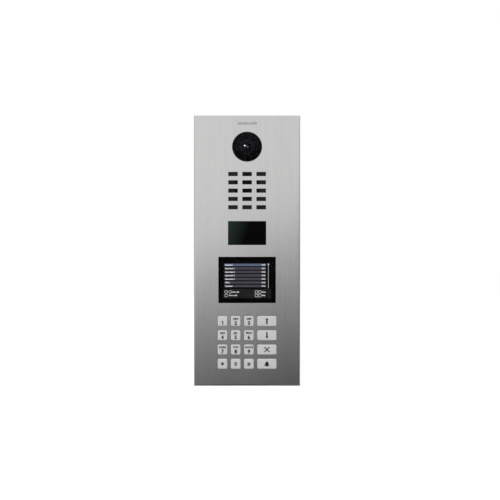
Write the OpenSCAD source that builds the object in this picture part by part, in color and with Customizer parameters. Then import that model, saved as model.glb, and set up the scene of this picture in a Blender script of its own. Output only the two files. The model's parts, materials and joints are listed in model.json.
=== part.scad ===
// Door intercom panel for flush mounting: a folded stainless tray over a wall box,
// with a camera, a speaker, a sensor window, a display and a sprung metal keypad.
// The front faces -Y, +X is right and +Z is up. The origin is the centre of the wall
// box's rear face. Names that end in _f are distances forward of that face, along -Y.

/* [Front panel] */
// Width of the front panel
panel_w = 142; // [140:1:180]
// Height of the front panel
panel_h = 361; // [352:1:440]
// Depth of the folded tray in front of the wall
tray_depth = 10; // [9:0.5:14]
// Thickness of the stainless sheet
sheet_t = 2; // [1.5:0.1:2.5]
// Outside radius of the folded edges
bend_r = 2; // [1:0.1:2.5]

/* [Wall box] */
// Depth of the wall box
box_depth = 45; // [38:1:70]
// Thickness of the wall box's sheet
box_t = 1.5; // [1:0.1:2.5]
// Outside radius of the wall box's folded edges
box_bend_r = 2; // [1:0.1:2.5]
// How far the front panel covers the wall around the box
wall_overlap = 7; // [6:0.5:14]
// Width of the flange turned in around the box's mouth
mouth_flange = 10; // [9:0.5:12]
// Distance between the wall screws, across
wall_screw_dx = 80; // [60:1:100]
// Distance between the wall screws, upright
wall_screw_dz = 290; // [200:1:300]
// Radius of the wall screw holes
wall_screw_r = 2.75; // [2:0.05:3.5]
// Radius of the round conduit holes in the top and bottom walls
conduit_r = 11; // [8:0.5:13]
// Radius of the cable hole through the lower grommet
cable_r = 5; // [2:0.5:6]

/* [Layout] */
// From the panel's top edge to the camera dome
top_margin = 22.1; // [20:0.1:40]
// From the camera dome down to the sound slots
dome_to_slots = 14.0; // [13:0.1:30]
// From the panel's bottom edge to the keypad
bottom_margin = 22.9; // [20:0.1:40]
// From the keypad up to the display
keys_to_display = 17.4; // [15:0.1:30]

/* [Camera] */
// Diameter of the tinted dome
dome_d = 39.5; // [34:0.5:47]
// How far the dome stands proud of the panel
dome_rise = 5; // [3:0.5:10]
// Thickness of the dome's wall
dome_t = 2; // [1.5:0.1:3]
// Depth of the camera housing behind the dome
camera_depth = 24; // [22:0.5:30]
// Number of infrared lamps around the lens
led_count = 10; // [6:1:12]

/* [Speaker] */
// Width of one sound slot
slot_w = 12.6; // [8:0.1:15]
// Height of one sound slot
slot_h = 5.4; // [3:0.1:7]
// Distance between slot columns
slot_pitch_x = 18.8; // [16:0.1:22]
// Distance between slot rows
slot_pitch_z = 11.1; // [9:0.1:13]
// Radius of the loudspeaker
speaker_r = 20; // [16:0.5:24]

/* [Sensor window] */
// Width of the black sensor window
window_w = 50.8; // [40:1:60]
// Height of the black sensor window
window_h = 31.8; // [25:1:36]

/* [Display] */
// Width of the display glass
display_w = 76.6; // [60:1:84]
// Height of the display glass
display_h = 61.6; // [50:1:64]
// How far the liquid crystal module reaches past the glass on each side
lcd_over_w = 0.45; // [0:0.05:2]
// How far the liquid crystal module reaches past the glass above and below
lcd_over_h = 1.45; // [0:0.05:2]
// Thickness of the liquid crystal module
lcd_t = 3.3; // [2:0.1:4]

/* [Keypad] */
// Width of a narrow key
key_w = 12.6; // [10:0.1:15.2]
// Width of a wide key
wide_key_w = 25.4; // [18:0.1:30]
// Height of every key
key_h = 13.2; // [10:0.1:15.9]
// Gap between key columns
key_gap = 5; // [4:0.1:7]
// Gap between key rows
key_row_gap = 5.8; // [4.5:0.1:8]
// Corner radius of the keys
key_corner_r = 1.8; // [0.8:0.1:3]
// Radius of the keys' front edges
key_edge_r = 0.7; // [0.3:0.1:1.2]
// How far the keys stand proud of the panel
key_proud = 1.5; // [1:0.1:3]
// How far a key travels when pressed
key_travel = 1.2; // [0.5:0.1:1.2]

/* [Electronics] */
// Width of the main board
board_w = 72; // [60:1:74]
// Length of the main board
board_l = 134; // [110:1:138]
// Depth of the rear cover behind the chassis plate
cover_depth = 23; // [20:0.5:25]

/* [Fixings] */
// Radius of the studs welded to the panel
stud_r = 1.5; // [1.25:0.05:2]
// Distance of the security screws from the middle
security_dx = 40; // [25:1:50]
// Width of one hanging hook
hook_w = 14; // [8:1:20]
// Distance of the hanging hooks from the middle
hook_dx = 42; // [38:1:50]

/* [Fits] */
// Gap round each glass in its opening
glass_gap = 0.2; // [0.1:0.05:0.4]
// Gap round each key in its opening
key_clear = 0.35; // [0.2:0.05:0.6]
// Gap between a key's lip and its guide
guide_clear = 0.3; // [0.2:0.05:0.6]
// Clearance round a stud in its hole
stud_clear = 0.2; // [0.1:0.05:0.4]

/* [Hidden] */
$fn = 64;

// Shared small sizes
over = 1;                // how far a cut runs past the face it starts from
board_t = 1.6;           // every circuit board
seal_t = 0.8;            // foam seal behind the panel
lip_t = 1.5;             // lip of a glass or a key behind the panel
window_lip = 3;          // how far a glass's lip reaches behind the sheet
glass_recess = 0.4;      // how far a glass lies behind the face
moulded_r = 3;           // corners of the moulded carriers
nut_t = 2.4;
nut_r = 3.2;             // over the corners
stud_end = 1;            // stud left standing past its nut
boss_r = stud_r + 1.7;
hole_r = stud_r + stud_clear;

// Levels, forward of the rear face
wall_f = box_depth;
face_f = wall_f + tray_depth;
inner_f = face_f - sheet_t;
lip_front_f = inner_f - seal_t;
lip_rear_f = lip_front_f - lip_t;

// Wall box, its conduit entries and its knockouts
box_w = panel_w - 2 * wall_overlap;
box_h = panel_h - 2 * wall_overlap;
conduit_f = box_depth / 2;
grommet_rim_t = 2;
grommet_rim = 2.5;       // reach of the outer rim past the hole
grommet_inner_rim = 1.5;
knockout_r = 10;
knockout_groove = 0.6;
knockout_depth = 0.5;
knockout_z = 90;
rim_inset = 1;
rim_w = 5;

// Upright layout: the camera and slots hang from the top edge, the keypad and display
// stand on the bottom edge, and the sensor window is midway between them.
camera_z = panel_h / 2 - top_margin - dome_d / 2;
slots_h = 4 * slot_pitch_z + slot_h;
slots_w = 2 * slot_pitch_x + slot_w;
slots_z = camera_z - dome_d / 2 - dome_to_slots - slots_h / 2;
keypad_w = 3 * key_w + wide_key_w + 3 * key_gap;
keypad_h = 4 * key_h + 3 * key_row_gap;
keypad_z = -panel_h / 2 + bottom_margin + keypad_h / 2;
display_z = keypad_z + keypad_h / 2 + keys_to_display + display_h / 2;
window_z = (slots_z - slots_h / 2 + display_z + display_h / 2) / 2;

// Camera
dome_r = dome_d / 2;
dome_ball_r = (dome_r * dome_r + dome_rise * dome_rise) / (2 * dome_rise);
dome_ball_f = face_f + dome_rise - dome_ball_r;
dome_lip_r = dome_r + window_lip;
camera_r = dome_lip_r + 0.5;
camera_wall = 1.6;
camera_rear_f = lip_rear_f - camera_depth;
camera_flange_t = 2;
camera_flange_edge = 5;
camera_stud_d = (camera_r + boss_r + 0.9) / sqrt(2);
camera_flange_w = 2 * (camera_stud_d + camera_flange_edge);
camera_ledge = 1.5;      // step that the lamp board sits on
camera_outlet_r = 6;
led_board_f = lip_rear_f - 5.3;
led_board_gap = 0.2;
led_r = 2.5;
led_body = 2.5;
led_ring_r = dome_r - 4.5;
sensor_board_f = camera_rear_f + 9.7;
sensor_board_w = 28;
sensor_post_d = 10;
sensor_post_r = 2;
hood_r = 10;
hood_t = 2;
hood_gap = 0.4;
barrel_r = 6;
barrel_base = 1;
lens_r = 4.2;
lens_gap = 0.05;
lens_seat = 2;           // depth of the recess that holds the lens
lens_ball_r = 6;
hood_front_f = inside_dome_f(hood_r) - hood_gap;
barrel_front_f = hood_front_f - 1;

// Speaker and microphone
mesh_t = 0.5;
mesh_f = inner_f - mesh_t;
carrier_t = 2;
carrier_f = mesh_f - seal_t - carrier_t;
slot_cover = 2;          // how far the mesh reaches past the slots
speaker_stud_x = slots_w / 2 + slot_cover + boss_r;
speaker_stud_z = slots_h / 2 - boss_r;
carrier_w = 2 * (speaker_stud_x + boss_r);
carrier_h = slots_h + 4 * slot_cover;
speaker_z = slots_z + slot_pitch_z / 2;
speaker_rim = 2.5;       // width of the speaker's mounting rim
microphone_x = slot_pitch_x;
microphone_z = slots_z - 2 * slot_pitch_z;
microphone_r = 3;
microphone_l = 4;
microphone_gap = 0.05;
boot_r = 5.5;
boot_gap = 0.1;
boot_hole_r = 1.2;
boot_l = 5;              // length of the boot behind its carrier
basket_t = 0.8;
basket_depth = 9.5;
basket_rear_f = carrier_f - basket_depth;
magnet_r = speaker_r - 8.5;
magnet_t = 8;
magnet_rear_f = basket_rear_f - magnet_t;
coil_r = 4;
coil_slack = 0.4;        // magnet's gap on each side of the coil
coil_reach = 2;          // how far the coil stands into the magnet
gap_depth = 4;
cone_t = 0.5;

// Sensor window
window_stud_x = window_w / 2 + window_lip + boss_r + 1;
window_stud_z = window_h / 2;
window_frame_w = 2 * (window_stud_x + boss_r);
window_frame_h = window_h + 2 * window_lip + 4;
window_frame_f = lip_rear_f - 4.7;
motion_can_r = 4.1;
motion_can_h = 4.2;
motion_rim = 0.5;

// Display
lcd_w = display_w + 2 * lcd_over_w;
lcd_h = display_h + 2 * lcd_over_h;
lcd_gap = 0.3;
lcd_f = lip_rear_f - 0.2 - lcd_t;
lcd_seat = 5;            // width of the frame's seat behind the module
display_frame_t = 6.7;
display_frame_f = lip_rear_f - display_frame_t;
display_stud_z = lcd_h / 2 + 0.35;
display_frame_h = 2 * (display_stud_z + boss_r + 0.5);
display_board_f = display_frame_f - board_t;
display_board_h = display_frame_h - 4;

// Keypad
key_front_f = face_f + key_proud;
key_lip = 0.9;
key_lip_gap = 0.1;       // between a resting key's lip and the panel
key_rear_f = inner_f - key_lip_gap - lip_t;
mat_t = 1;
mat_gap = 0.2;           // left between a pressed key's rear and the frame's rear face
mat_f = key_rear_f - key_travel - mat_gap - 2 * mat_t;
mat_front_f = mat_f + mat_t;
mat_post_r = 3;
mat_foot_r = 4.8;
mat_clear = 0.2;
keypad_board_f = mat_f - board_t;
keypad_wall_f = keypad_board_f - board_t;
dot_r = 0.6;
dot_inset = 1.5;
frame_edge = 4.5;
key_opening = key_lip + guide_clear;
keypad_frame_h = keypad_h + 2 * frame_edge;
keypad_stud_z = keypad_h / 2 - 2;
pocket_h = keypad_h + frame_edge;

// Chassis, main board and rear cover, all on the display's and keypad's studs
stud_x = max(display_w / 2 + window_lip, keypad_w / 2 + key_opening) + boss_r + 0.8;
pocket_w = 2 * (stud_x - boss_r) - 1;
frame_w = 2 * (stud_x + boss_r);
chassis_t = 1.2;
chassis_f = display_board_f - 4.6;
chassis_top_z = display_z + display_frame_h / 2;
chassis_bottom_z = keypad_z - keypad_frame_h / 2;
cable_slot_z = (display_z - display_frame_h / 2 + keypad_z + keypad_frame_h / 2) / 2;
cable_slot_w = 60;
cable_slot_h = 4;
post_l = 4;
board_f = chassis_f - post_l - board_t;
board_top_z = chassis_top_z - 12;
board_z = board_top_z - board_l / 2;
board_post_x = board_w / 2 - 3.5;
board_post_z = board_l / 2 - 4;
post_r = 3;
post_pin_r = 1.4;
post_pin_gap = 0.1;
cover_t = 1.2;
cover_wall = 1.5;
cover_flange_f = chassis_f - cover_t;
cover_rear_f = chassis_f - cover_depth;
cover_w = board_w + 2 * cover_wall + 2;
cover_top_z = board_top_z + 4;
connector_room = 30;     // board left uncovered at the connectors
cover_bottom_z = board_top_z - board_l + connector_room;
cover_z = (cover_top_z + cover_bottom_z) / 2;
cover_h = cover_top_z - cover_bottom_z;
cover_flange_bottom_z = cover_bottom_z - 5;
vent_h = 3;
vent_pitch = 7;

// Connectors on the main board, whose plugs enter from below
connector_z = board_top_z - board_l + 11;
jack_w = 16;
jack_h = 13.5;
jack_l = 21;
jack_mouth_w = 11.8;
jack_mouth_l = 14;
terminal_h = 12;
terminal_d = 10;
terminal_rows = 12.5;
way_pitch = 5.08;
ways = 6;
way_w = 3.5;
shield_w = 32;
shield_h = 3;
shield_t = 0.5;

// Flat cables
ribbon_t = 0.6;
ribbon_half = ribbon_t / 2;
panel_end_f = board_f + board_t + ribbon_half;
cover_end_f = board_f - ribbon_half;

// Fixing studs: place across, place up and the face that the nut seats on
stud_spots = concat(
    [for (i = [-1, 1], k = [-1, 1])
        [i * camera_stud_d, camera_z + k * camera_stud_d, lip_rear_f - camera_flange_t]],
    [for (i = [-1, 1], k = [-1, 1]) [i * speaker_stud_x, slots_z + k * speaker_stud_z, carrier_f]],
    [for (i = [-1, 1], k = [-1, 1])
        [i * window_stud_x, window_z + k * window_stud_z, window_frame_f - board_t]],
    [for (i = [-1, 1], k = [-1, 1]) [i * stud_x, display_z + k * display_stud_z, cover_flange_f]],
    [for (i = [-1, 1]) [i * stud_x, keypad_z + keypad_stud_z, cover_flange_f]],
    [for (i = [-1, 1]) [i * stud_x, keypad_z - keypad_stud_z, chassis_f]]);

// Hanging hooks and security screws
hook_t = 1.2;
hook_gap = 0.3;
hook_top_z = box_h / 2 - rim_inset - rim_w - 0.5;
hook_drop = 11;
hook_rear_f = inner_f - 3 * hook_t - 2 * hook_gap - 0.5;
rail_lip_f = hook_rear_f + hook_t + hook_gap;
security_f = inner_f - 3;
security_r = 1.45;
security_head_r = 3;
security_head_h = 1.5;
security_key_r = 1;
security_l = 7.2;
thread_gap = 0.05;
tab_t = 1.8;
tab_w = 20;
tab_front = 2;           // tab in front of its screw
tab_back = 20;           // tab along the outside of the box

// Keys: name, column and row, both counted from the top left
KEYS = [["key_1", 0, 0], ["key_2", 1, 0], ["key_3", 2, 0], ["key_up", 3, 0],
    ["key_4", 0, 1], ["key_5", 1, 1], ["key_6", 2, 1], ["key_down", 3, 1],
    ["key_7", 0, 2], ["key_8", 1, 2], ["key_9", 2, 2], ["key_cancel", 3, 2],
    ["key_star", 0, 3], ["key_0", 1, 3], ["key_hash", 2, 3], ["key_bell", 3, 3]];

// Cables to the front of the main board: place across, width, start, height of the start, level of the run
PANEL_LEADS = [
    [-15, 16, keypad_board_f, keypad_z + keypad_h / 2 - 6, keypad_wall_f - 3],
    [15, 20, display_board_f, display_z - display_board_h / 2 + 8, display_board_f - 1.8]];

// Cables to its rear: the same, with the run's height over the cover and the end's drop below the board's top
BOARD_LEADS = [
    [0, 8, sensor_board_f, camera_z, 6, 6],
    [28, 10, window_frame_f - board_t, window_z - 8, 9, 12],
    [-8, 4, magnet_rear_f, speaker_z, 9, 12],
    [microphone_x, 3, carrier_f - microphone_l, microphone_z, 11, 18]];

function inside_dome_f(r) = dome_ball_f + sqrt(pow(dome_ball_r - dome_t, 2) - r * r);
function key_width(col) = col == 3 ? wide_key_w : key_w;
function key_x(col) = -keypad_w / 2 + col * (key_w + key_gap) + key_width(col) / 2;
function key_z(row) = keypad_z + (1.5 - row) * (key_h + key_row_gap);

// Extrudes a shape drawn across and up from one level forward to another
module ahead(from_f, to_f) {
    translate([0, -from_f, 0]) rotate([90, 0, 0]) linear_extrude(to_f - from_f) children();
}

// Turns a profile of radius and level about an axis that points forward
module turned() {
    rotate([90, 0, 0]) rotate_extrude() children();
}

module at(x, z) {
    translate([x, 0, z]) children();
}

module rod(r, from_f, to_f) {
    translate([0, -from_f, 0]) rotate([90, 0, 0]) cylinder(r = r, h = to_f - from_f);
}

module block(w, h, from_f, to_f) {
    translate([-w / 2, -to_f, -h / 2]) cube([w, to_f - from_f, h]);
}

module round_rect(w, h, r) {
    square([w, h - 2 * r], center = true);
    square([w - 2 * r, h], center = true);
    for (i = [-1, 1], k = [-1, 1]) translate([i * (w / 2 - r), k * (h / 2 - r)]) circle(r);
}

// A key's outline, grown by a gap all round
module key_shape(k, gap) {
    round_rect(key_width(k[1]) + 2 * gap, key_h + 2 * gap, key_corner_r + gap);
}

// Rectangle with a hole in it
module ring_rect(w, h, hole_w, hole_h) {
    difference() {
        square([w, h], center = true);
        square([hole_w, hole_h], center = true);
    }
}

// Cross-section of a block whose two front corners are rounded
module rounded_front_profile(w, from_f, to_f, r) {
    translate([-w / 2, r - to_f]) square([w, to_f - r - from_f]);
    translate([r - w / 2, -to_f]) square([w - 2 * r, r + 0.01]);
    for (i = [-1, 1]) translate([i * (w / 2 - r), r - to_f]) circle(r);
}

// Block whose four front edges are rounded, with mitred corners
module rounded_front(w, h, from_f, to_f, r) {
    intersection() {
        translate([0, 0, -h / 2]) linear_extrude(h) rounded_front_profile(w, from_f, to_f, r);
        translate([-w / 2, 0, 0]) rotate([0, 90, 0]) linear_extrude(w)
            rounded_front_profile(h, from_f, to_f, r);
    }
}

module slot_grid() {
    for (i = [-1:1], k = [-2:2]) translate([i * slot_pitch_x, k * slot_pitch_z])
        square([slot_w, slot_h], center = true);
}

module stud_holes(first, last, from_f, to_f) {
    for (i = [first:last]) at(stud_spots[i][0], stud_spots[i][1]) rod(hole_r, from_f, to_f);
}

// ---- Front tray ----

module front_panel() {
    color([0.72, 0.72, 0.71]) difference() {
        rounded_front(panel_w, panel_h, wall_f, face_f, bend_r);
        block(panel_w - 2 * sheet_t, panel_h - 2 * sheet_t, wall_f - over, inner_f);
        at(0, camera_z) rod(dome_r + glass_gap, inner_f - over, face_f + over);
        at(0, slots_z) ahead(inner_f - over, face_f + over) slot_grid();
        at(0, window_z) block(window_w, window_h, inner_f - over, face_f + over);
        at(0, display_z) block(display_w, display_h, inner_f - over, face_f + over);
        for (k = KEYS) at(key_x(k[1]), key_z(k[2])) ahead(inner_f - over, face_f + over)
            key_shape(k, key_clear);
        for (i = [-1, 1]) translate([i * security_dx, -security_f, -panel_h / 2]) security_hole();
    }
}

module security_hole() {
    translate([0, 0, -over]) cylinder(r = security_r + stud_clear, h = sheet_t + 2 * over);
    cylinder(r1 = security_head_r + thread_gap, r2 = security_r + thread_gap, h = security_head_h);
}

module panel_studs() {
    color([0.75, 0.75, 0.76]) for (s = stud_spots)
        at(s[0], s[1]) rod(stud_r, s[2] - nut_t - stud_end, inner_f);
}

module stud_nuts() {
    color([0.8, 0.78, 0.7]) for (s = stud_spots) at(s[0], s[1]) difference() {
        translate([0, nut_t - s[2], 0]) rotate([90, 0, 0]) cylinder(r = nut_r, h = nut_t, $fn = 6);
        rod(stud_r + thread_gap, s[2] - nut_t - over, s[2] + over);
    }
}

// Hooks welded behind the top of the panel, open downwards
module panel_hooks() {
    color([0.75, 0.75, 0.76]) for (i = [-1, 1]) at(i * hook_dx, hook_top_z) {
        hook_leg(inner_f - hook_t, inner_f, -hook_drop, 0);
        hook_leg(hook_rear_f, inner_f, -hook_t, 0);
        hook_leg(hook_rear_f, hook_rear_f + hook_t, -hook_drop + 2 * hook_t, 0);
    }
}

module hook_leg(from_f, to_f, low, high) {
    translate([-hook_w / 2, -to_f, low]) cube([hook_w, to_f - from_f, high - low]);
}

// Rails welded to the box's mouth, which the hooks drop over, and tabs for the security screws
module wall_brackets() {
    color([0.7, 0.7, 0.68]) {
        for (i = [-1, 1]) at(i * hook_dx, hook_top_z) {
            hook_leg(wall_f, wall_f + hook_t, -hook_drop, hook_gap);
            hook_leg(wall_f, rail_lip_f + hook_t, -hook_drop, -hook_drop + hook_t);
            hook_leg(rail_lip_f, rail_lip_f + hook_t, -hook_drop, -hook_t);
        }
        for (i = [-1, 1]) difference() {
            translate([i * security_dx - tab_w / 2, -security_f - tab_front, -box_h / 2 - tab_t])
                cube([tab_w, security_f + tab_front - wall_f + tab_back, tab_t]);
            translate([i * security_dx, -security_f, -box_h / 2 - tab_t - over])
                cylinder(r = security_r + thread_gap, h = tab_t + 2 * over);
        }
    }
}

module security_screws() {
    color([0.78, 0.78, 0.78]) for (i = [-1, 1]) translate([i * security_dx, -security_f, -panel_h / 2])
        difference() {
            union() {
                cylinder(r1 = security_head_r, r2 = security_r, h = security_head_h);
                cylinder(r = security_r, h = security_l);
            }
            translate([0, 0, -over]) cylinder(r = security_key_r, h = over + security_key_r, $fn = 6);
        }
}

module rim_gasket() {
    color([0.12, 0.12, 0.12]) ahead(wall_f, inner_f)
        ring_rect(box_w - 2 * rim_inset, box_h - 2 * rim_inset, box_w - 2 * (rim_inset + rim_w),
            box_h - 2 * (rim_inset + rim_w));
}

// ---- Wall box ----

module back_box() {
    color([0.62, 0.63, 0.64]) difference() {
        translate([0, -wall_f, 0]) mirror([0, 1, 0]) rounded_front(box_w, box_h, 0, wall_f, box_bend_r);
        block(box_w - 2 * box_t, box_h - 2 * box_t, box_t, wall_f - box_t);
        block(box_w - 2 * mouth_flange, box_h - 2 * mouth_flange, box_t, wall_f + over);
        for (i = [-1, 1], k = [-1, 1]) at(i * wall_screw_dx / 2, k * wall_screw_dz / 2)
            rod(wall_screw_r, -over, box_t + over);
        for (k = [-1, 1]) translate([0, -conduit_f, k * (box_h / 2 - box_t / 2)])
            cylinder(r = conduit_r, h = box_t + 2 * over, center = true);
        for (k = [-1, 1]) {
            at(0, k * knockout_z) rotate([90, 0, 0]) knockout();
            for (i = [-1, 1]) translate([i * box_w / 2, -conduit_f, k * knockout_z])
                rotate([0, -i * 90, 0]) knockout();
        }
    }
}

// Groove stamped round a disc that can be knocked out
module knockout() {
    translate([0, 0, -over]) linear_extrude(over + knockout_depth) difference() {
        circle(knockout_r);
        circle(knockout_r - knockout_groove);
    }
}

// An open grommet in the bottom wall and a blind one in the top wall
module conduit_grommets() {
    color([0.1, 0.1, 0.1]) {
        translate([0, -conduit_f, -box_h / 2]) difference() {
            grommet();
            translate([0, 0, -grommet_rim_t - over])
                cylinder(r = cable_r, h = box_t + 2 * (grommet_rim_t + over));
        }
        translate([0, -conduit_f, box_h / 2]) mirror([0, 0, 1]) grommet();
    }
}

module grommet() {
    translate([0, 0, -grommet_rim_t]) {
        cylinder(r = conduit_r + grommet_rim, h = grommet_rim_t);
        cylinder(r = conduit_r, h = box_t + 2 * grommet_rim_t);
    }
    translate([0, 0, box_t]) cylinder(r = conduit_r + grommet_inner_rim, h = grommet_rim_t);
}

// ---- Seals ----

module foam_seals() {
    color([0.08, 0.08, 0.08]) {
        at(0, camera_z) ahead(lip_front_f, inner_f) difference() {
            circle(dome_lip_r);
            circle(dome_r + 2 * glass_gap);
        }
        at(0, window_z) ahead(lip_front_f, inner_f)
            ring_rect(window_w + 2 * window_lip, window_h + 2 * window_lip, window_w, window_h);
        at(0, display_z) ahead(lip_front_f, inner_f)
            ring_rect(display_w + 2 * window_lip, display_h + 2 * window_lip, display_w, display_h);
        difference() {
            at(0, slots_z) block(carrier_w, carrier_h, mesh_f - seal_t, mesh_f);
            sound_openings();
            stud_holes(4, 7, 0, face_f);
        }
    }
}

// ---- Camera ----

module camera_dome() {
    color([0.05, 0.05, 0.06]) at(0, camera_z) turned() difference() {
        union() {
            intersection() {
                translate([0, dome_ball_f]) circle(dome_ball_r, $fn = 128);
                translate([0, lip_rear_f]) square([dome_r, face_f + dome_rise - lip_rear_f + over]);
            }
            translate([0, lip_rear_f]) square([dome_lip_r, lip_t]);
        }
        intersection() {
            translate([0, dome_ball_f]) circle(dome_ball_r - dome_t, $fn = 128);
            translate([0, lip_rear_f - over]) square([dome_r - dome_t, face_f + dome_rise - lip_rear_f]);
        }
    }
}

module camera_housing() {
    bore_r = camera_r - camera_wall;
    color([0.12, 0.12, 0.13]) at(0, camera_z) {
        difference() {
            union() {
                rod(camera_r, camera_rear_f, lip_rear_f);
                ahead(lip_rear_f - camera_flange_t, lip_rear_f)
                    round_rect(camera_flange_w, camera_flange_w, boss_r);
            }
            rod(bore_r, led_board_f, lip_rear_f + over);
            rod(bore_r - camera_ledge, camera_rear_f + camera_wall, lip_rear_f);
            rod(camera_outlet_r, camera_rear_f - over, lip_rear_f);
            for (i = [-1, 1], k = [-1, 1]) at(i * camera_stud_d, k * camera_stud_d)
                rod(hole_r, camera_rear_f, lip_rear_f + over);
        }
        for (i = [-1, 1], k = [-1, 1]) at(i * sensor_post_d, k * sensor_post_d)
            rod(sensor_post_r, camera_rear_f + camera_wall / 2, sensor_board_f);
    }
}

module image_sensor_board() {
    color([0.05, 0.3, 0.15]) at(0, camera_z)
        block(sensor_board_w, sensor_board_w, sensor_board_f, sensor_board_f + board_t);
}

module lens_barrel() {
    color([0.1, 0.1, 0.1]) at(0, camera_z) difference() {
        union() {
            rod(barrel_r + barrel_base, sensor_board_f + board_t, led_board_f - barrel_base);
            rod(barrel_r, sensor_board_f + board_t, barrel_front_f);
        }
        rod(lens_r, barrel_front_f - lens_seat, barrel_front_f + over);
    }
}

module front_lens() {
    color([0.25, 0.3, 0.45]) at(0, camera_z) turned() intersection() {
        translate([0, barrel_front_f - lens_seat]) square([lens_r - lens_gap, lens_ball_r]);
        translate([0, barrel_front_f + hood_gap - lens_ball_r]) circle(lens_ball_r);
    }
}

module lens_hood() {
    color([0.09, 0.09, 0.1]) at(0, camera_z) ahead(led_board_f + board_t, hood_front_f) difference() {
        circle(hood_r);
        circle(hood_r - hood_t);
    }
}

module infrared_led_board() {
    color([0.05, 0.25, 0.12]) at(0, camera_z) ahead(led_board_f, led_board_f + board_t) difference() {
        circle(camera_r - camera_wall - led_board_gap);
        circle(barrel_r + camera_ledge);
    }
}

module infrared_leds() {
    body_f = led_board_f + board_t;
    color([0.3, 0.25, 0.35]) at(0, camera_z) for (i = [0:led_count - 1]) rotate([0, i * 360 / led_count, 0])
        at(0, led_ring_r) turned() {
            translate([0, body_f]) square([led_r, led_body]);
            intersection() {
                translate([0, body_f + led_body]) circle(led_r);
                translate([0, body_f]) square([led_r, led_body + led_r + over]);
            }
        }
}

// ---- Speaker and microphone ----

module sound_openings() {
    at(0, speaker_z) rod(speaker_r - speaker_rim, 0, face_f);
    at(microphone_x, microphone_z) rod(boot_r + boot_gap, 0, face_f);
}

module speaker_mesh() {
    color([0.35, 0.35, 0.35]) difference() {
        at(0, slots_z) block(carrier_w, carrier_h, mesh_f, inner_f);
        stud_holes(4, 7, 0, face_f);
    }
}

module speaker_carrier() {
    color([0.1, 0.1, 0.11]) difference() {
        at(0, slots_z) ahead(carrier_f, carrier_f + carrier_t) round_rect(carrier_w, carrier_h, moulded_r);
        sound_openings();
        stud_holes(4, 7, 0, face_f);
    }
}

module speaker_basket() {
    rim_f = carrier_f - basket_t;
    inner_r = speaker_r - speaker_rim;
    basket_hole_r = coil_r + 2 * coil_slack;
    window_r = 0.75 * speaker_r;
    color([0.3, 0.3, 0.3]) at(0, speaker_z) difference() {
        turned() union() {
            translate([inner_r, rim_f]) square([speaker_rim, basket_t]);
            polygon([[inner_r + basket_t / 2, carrier_f], [magnet_r, basket_rear_f + basket_t],
                [basket_hole_r, basket_rear_f + basket_t], [basket_hole_r, basket_rear_f],
                [magnet_r + basket_t, basket_rear_f], [inner_r + 1.5 * basket_t, rim_f]]);
        }
        for (i = [0:3]) rotate([0, 45 + i * 90, 0]) at(0, window_r)
            block(0.8 * window_r, 0.65 * window_r, basket_rear_f + 2 * basket_t, rim_f - basket_t);
    }
}

module speaker_cone() {
    edge_r = speaker_r - speaker_rim - coil_slack;
    edge_f = carrier_f - basket_t;
    neck_f = basket_rear_f + gap_depth;
    coil_f = basket_rear_f - coil_reach;
    color([0.2, 0.2, 0.2]) at(0, speaker_z) turned() polygon([
        [edge_r, edge_f + cone_t], [coil_r, neck_f + cone_t], [0, neck_f + 3 * cone_t],
        [0, neck_f + 2 * cone_t], [coil_r - cone_t, neck_f], [coil_r - cone_t, coil_f],
        [coil_r, coil_f], [coil_r, neck_f], [edge_r - cone_t, edge_f]]);
}

module speaker_magnet() {
    color([0.25, 0.25, 0.27]) at(0, speaker_z) difference() {
        rod(magnet_r, magnet_rear_f, basket_rear_f);
        ahead(basket_rear_f - gap_depth, basket_rear_f + over) difference() {
            circle(coil_r + coil_slack);
            circle(coil_r - cone_t - coil_slack);
        }
    }
}

module microphone_boot() {
    color([0.08, 0.08, 0.08]) at(microphone_x, microphone_z) difference() {
        rod(boot_r, carrier_f - boot_l, mesh_f);
        rod(microphone_r + microphone_gap, carrier_f - boot_l - over, carrier_f);
        rod(boot_hole_r, carrier_f - over, mesh_f + over);
    }
}

module microphone() {
    color([0.7, 0.7, 0.72]) at(microphone_x, microphone_z)
        rod(microphone_r, carrier_f - microphone_l, carrier_f);
}

// ---- Sensor window ----

// A glass or moulded window: a plug that fills its opening and a lip behind the sheet
module lipped_glass(w, h) {
    block(w - 2 * glass_gap, h - 2 * glass_gap, lip_rear_f, face_f - glass_recess);
    block(w + 2 * window_lip, h + 2 * window_lip, lip_rear_f, lip_front_f);
}

module sensor_window() {
    color([0.03, 0.03, 0.03]) at(0, window_z) lipped_glass(window_w, window_h);
}

module window_frame() {
    color([0.1, 0.1, 0.11]) difference() {
        at(0, window_z) ahead(window_frame_f, lip_rear_f) difference() {
            round_rect(window_frame_w, window_frame_h, moulded_r);
            square([window_w, window_h], center = true);
        }
        stud_holes(8, 11, 0, face_f);
    }
}

module reader_board() {
    color([0.05, 0.3, 0.15]) difference() {
        at(0, window_z) block(window_frame_w, window_frame_h, window_frame_f - board_t, window_frame_f);
        stud_holes(8, 11, 0, face_f);
    }
}

module motion_sensor() {
    color([0.7, 0.68, 0.6]) at(-window_w / 4, window_z) {
        rod(motion_can_r + motion_rim, window_frame_f, window_frame_f + motion_rim);
        rod(motion_can_r, window_frame_f, window_frame_f + motion_can_h);
    }
}

// ---- Display ----

module display_glass() {
    color([0.03, 0.03, 0.04]) at(0, display_z) lipped_glass(display_w, display_h);
}

module lcd_panel() {
    color([0.15, 0.17, 0.22]) at(0, display_z) block(lcd_w, lcd_h, lcd_f, lcd_f + lcd_t);
}

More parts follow.
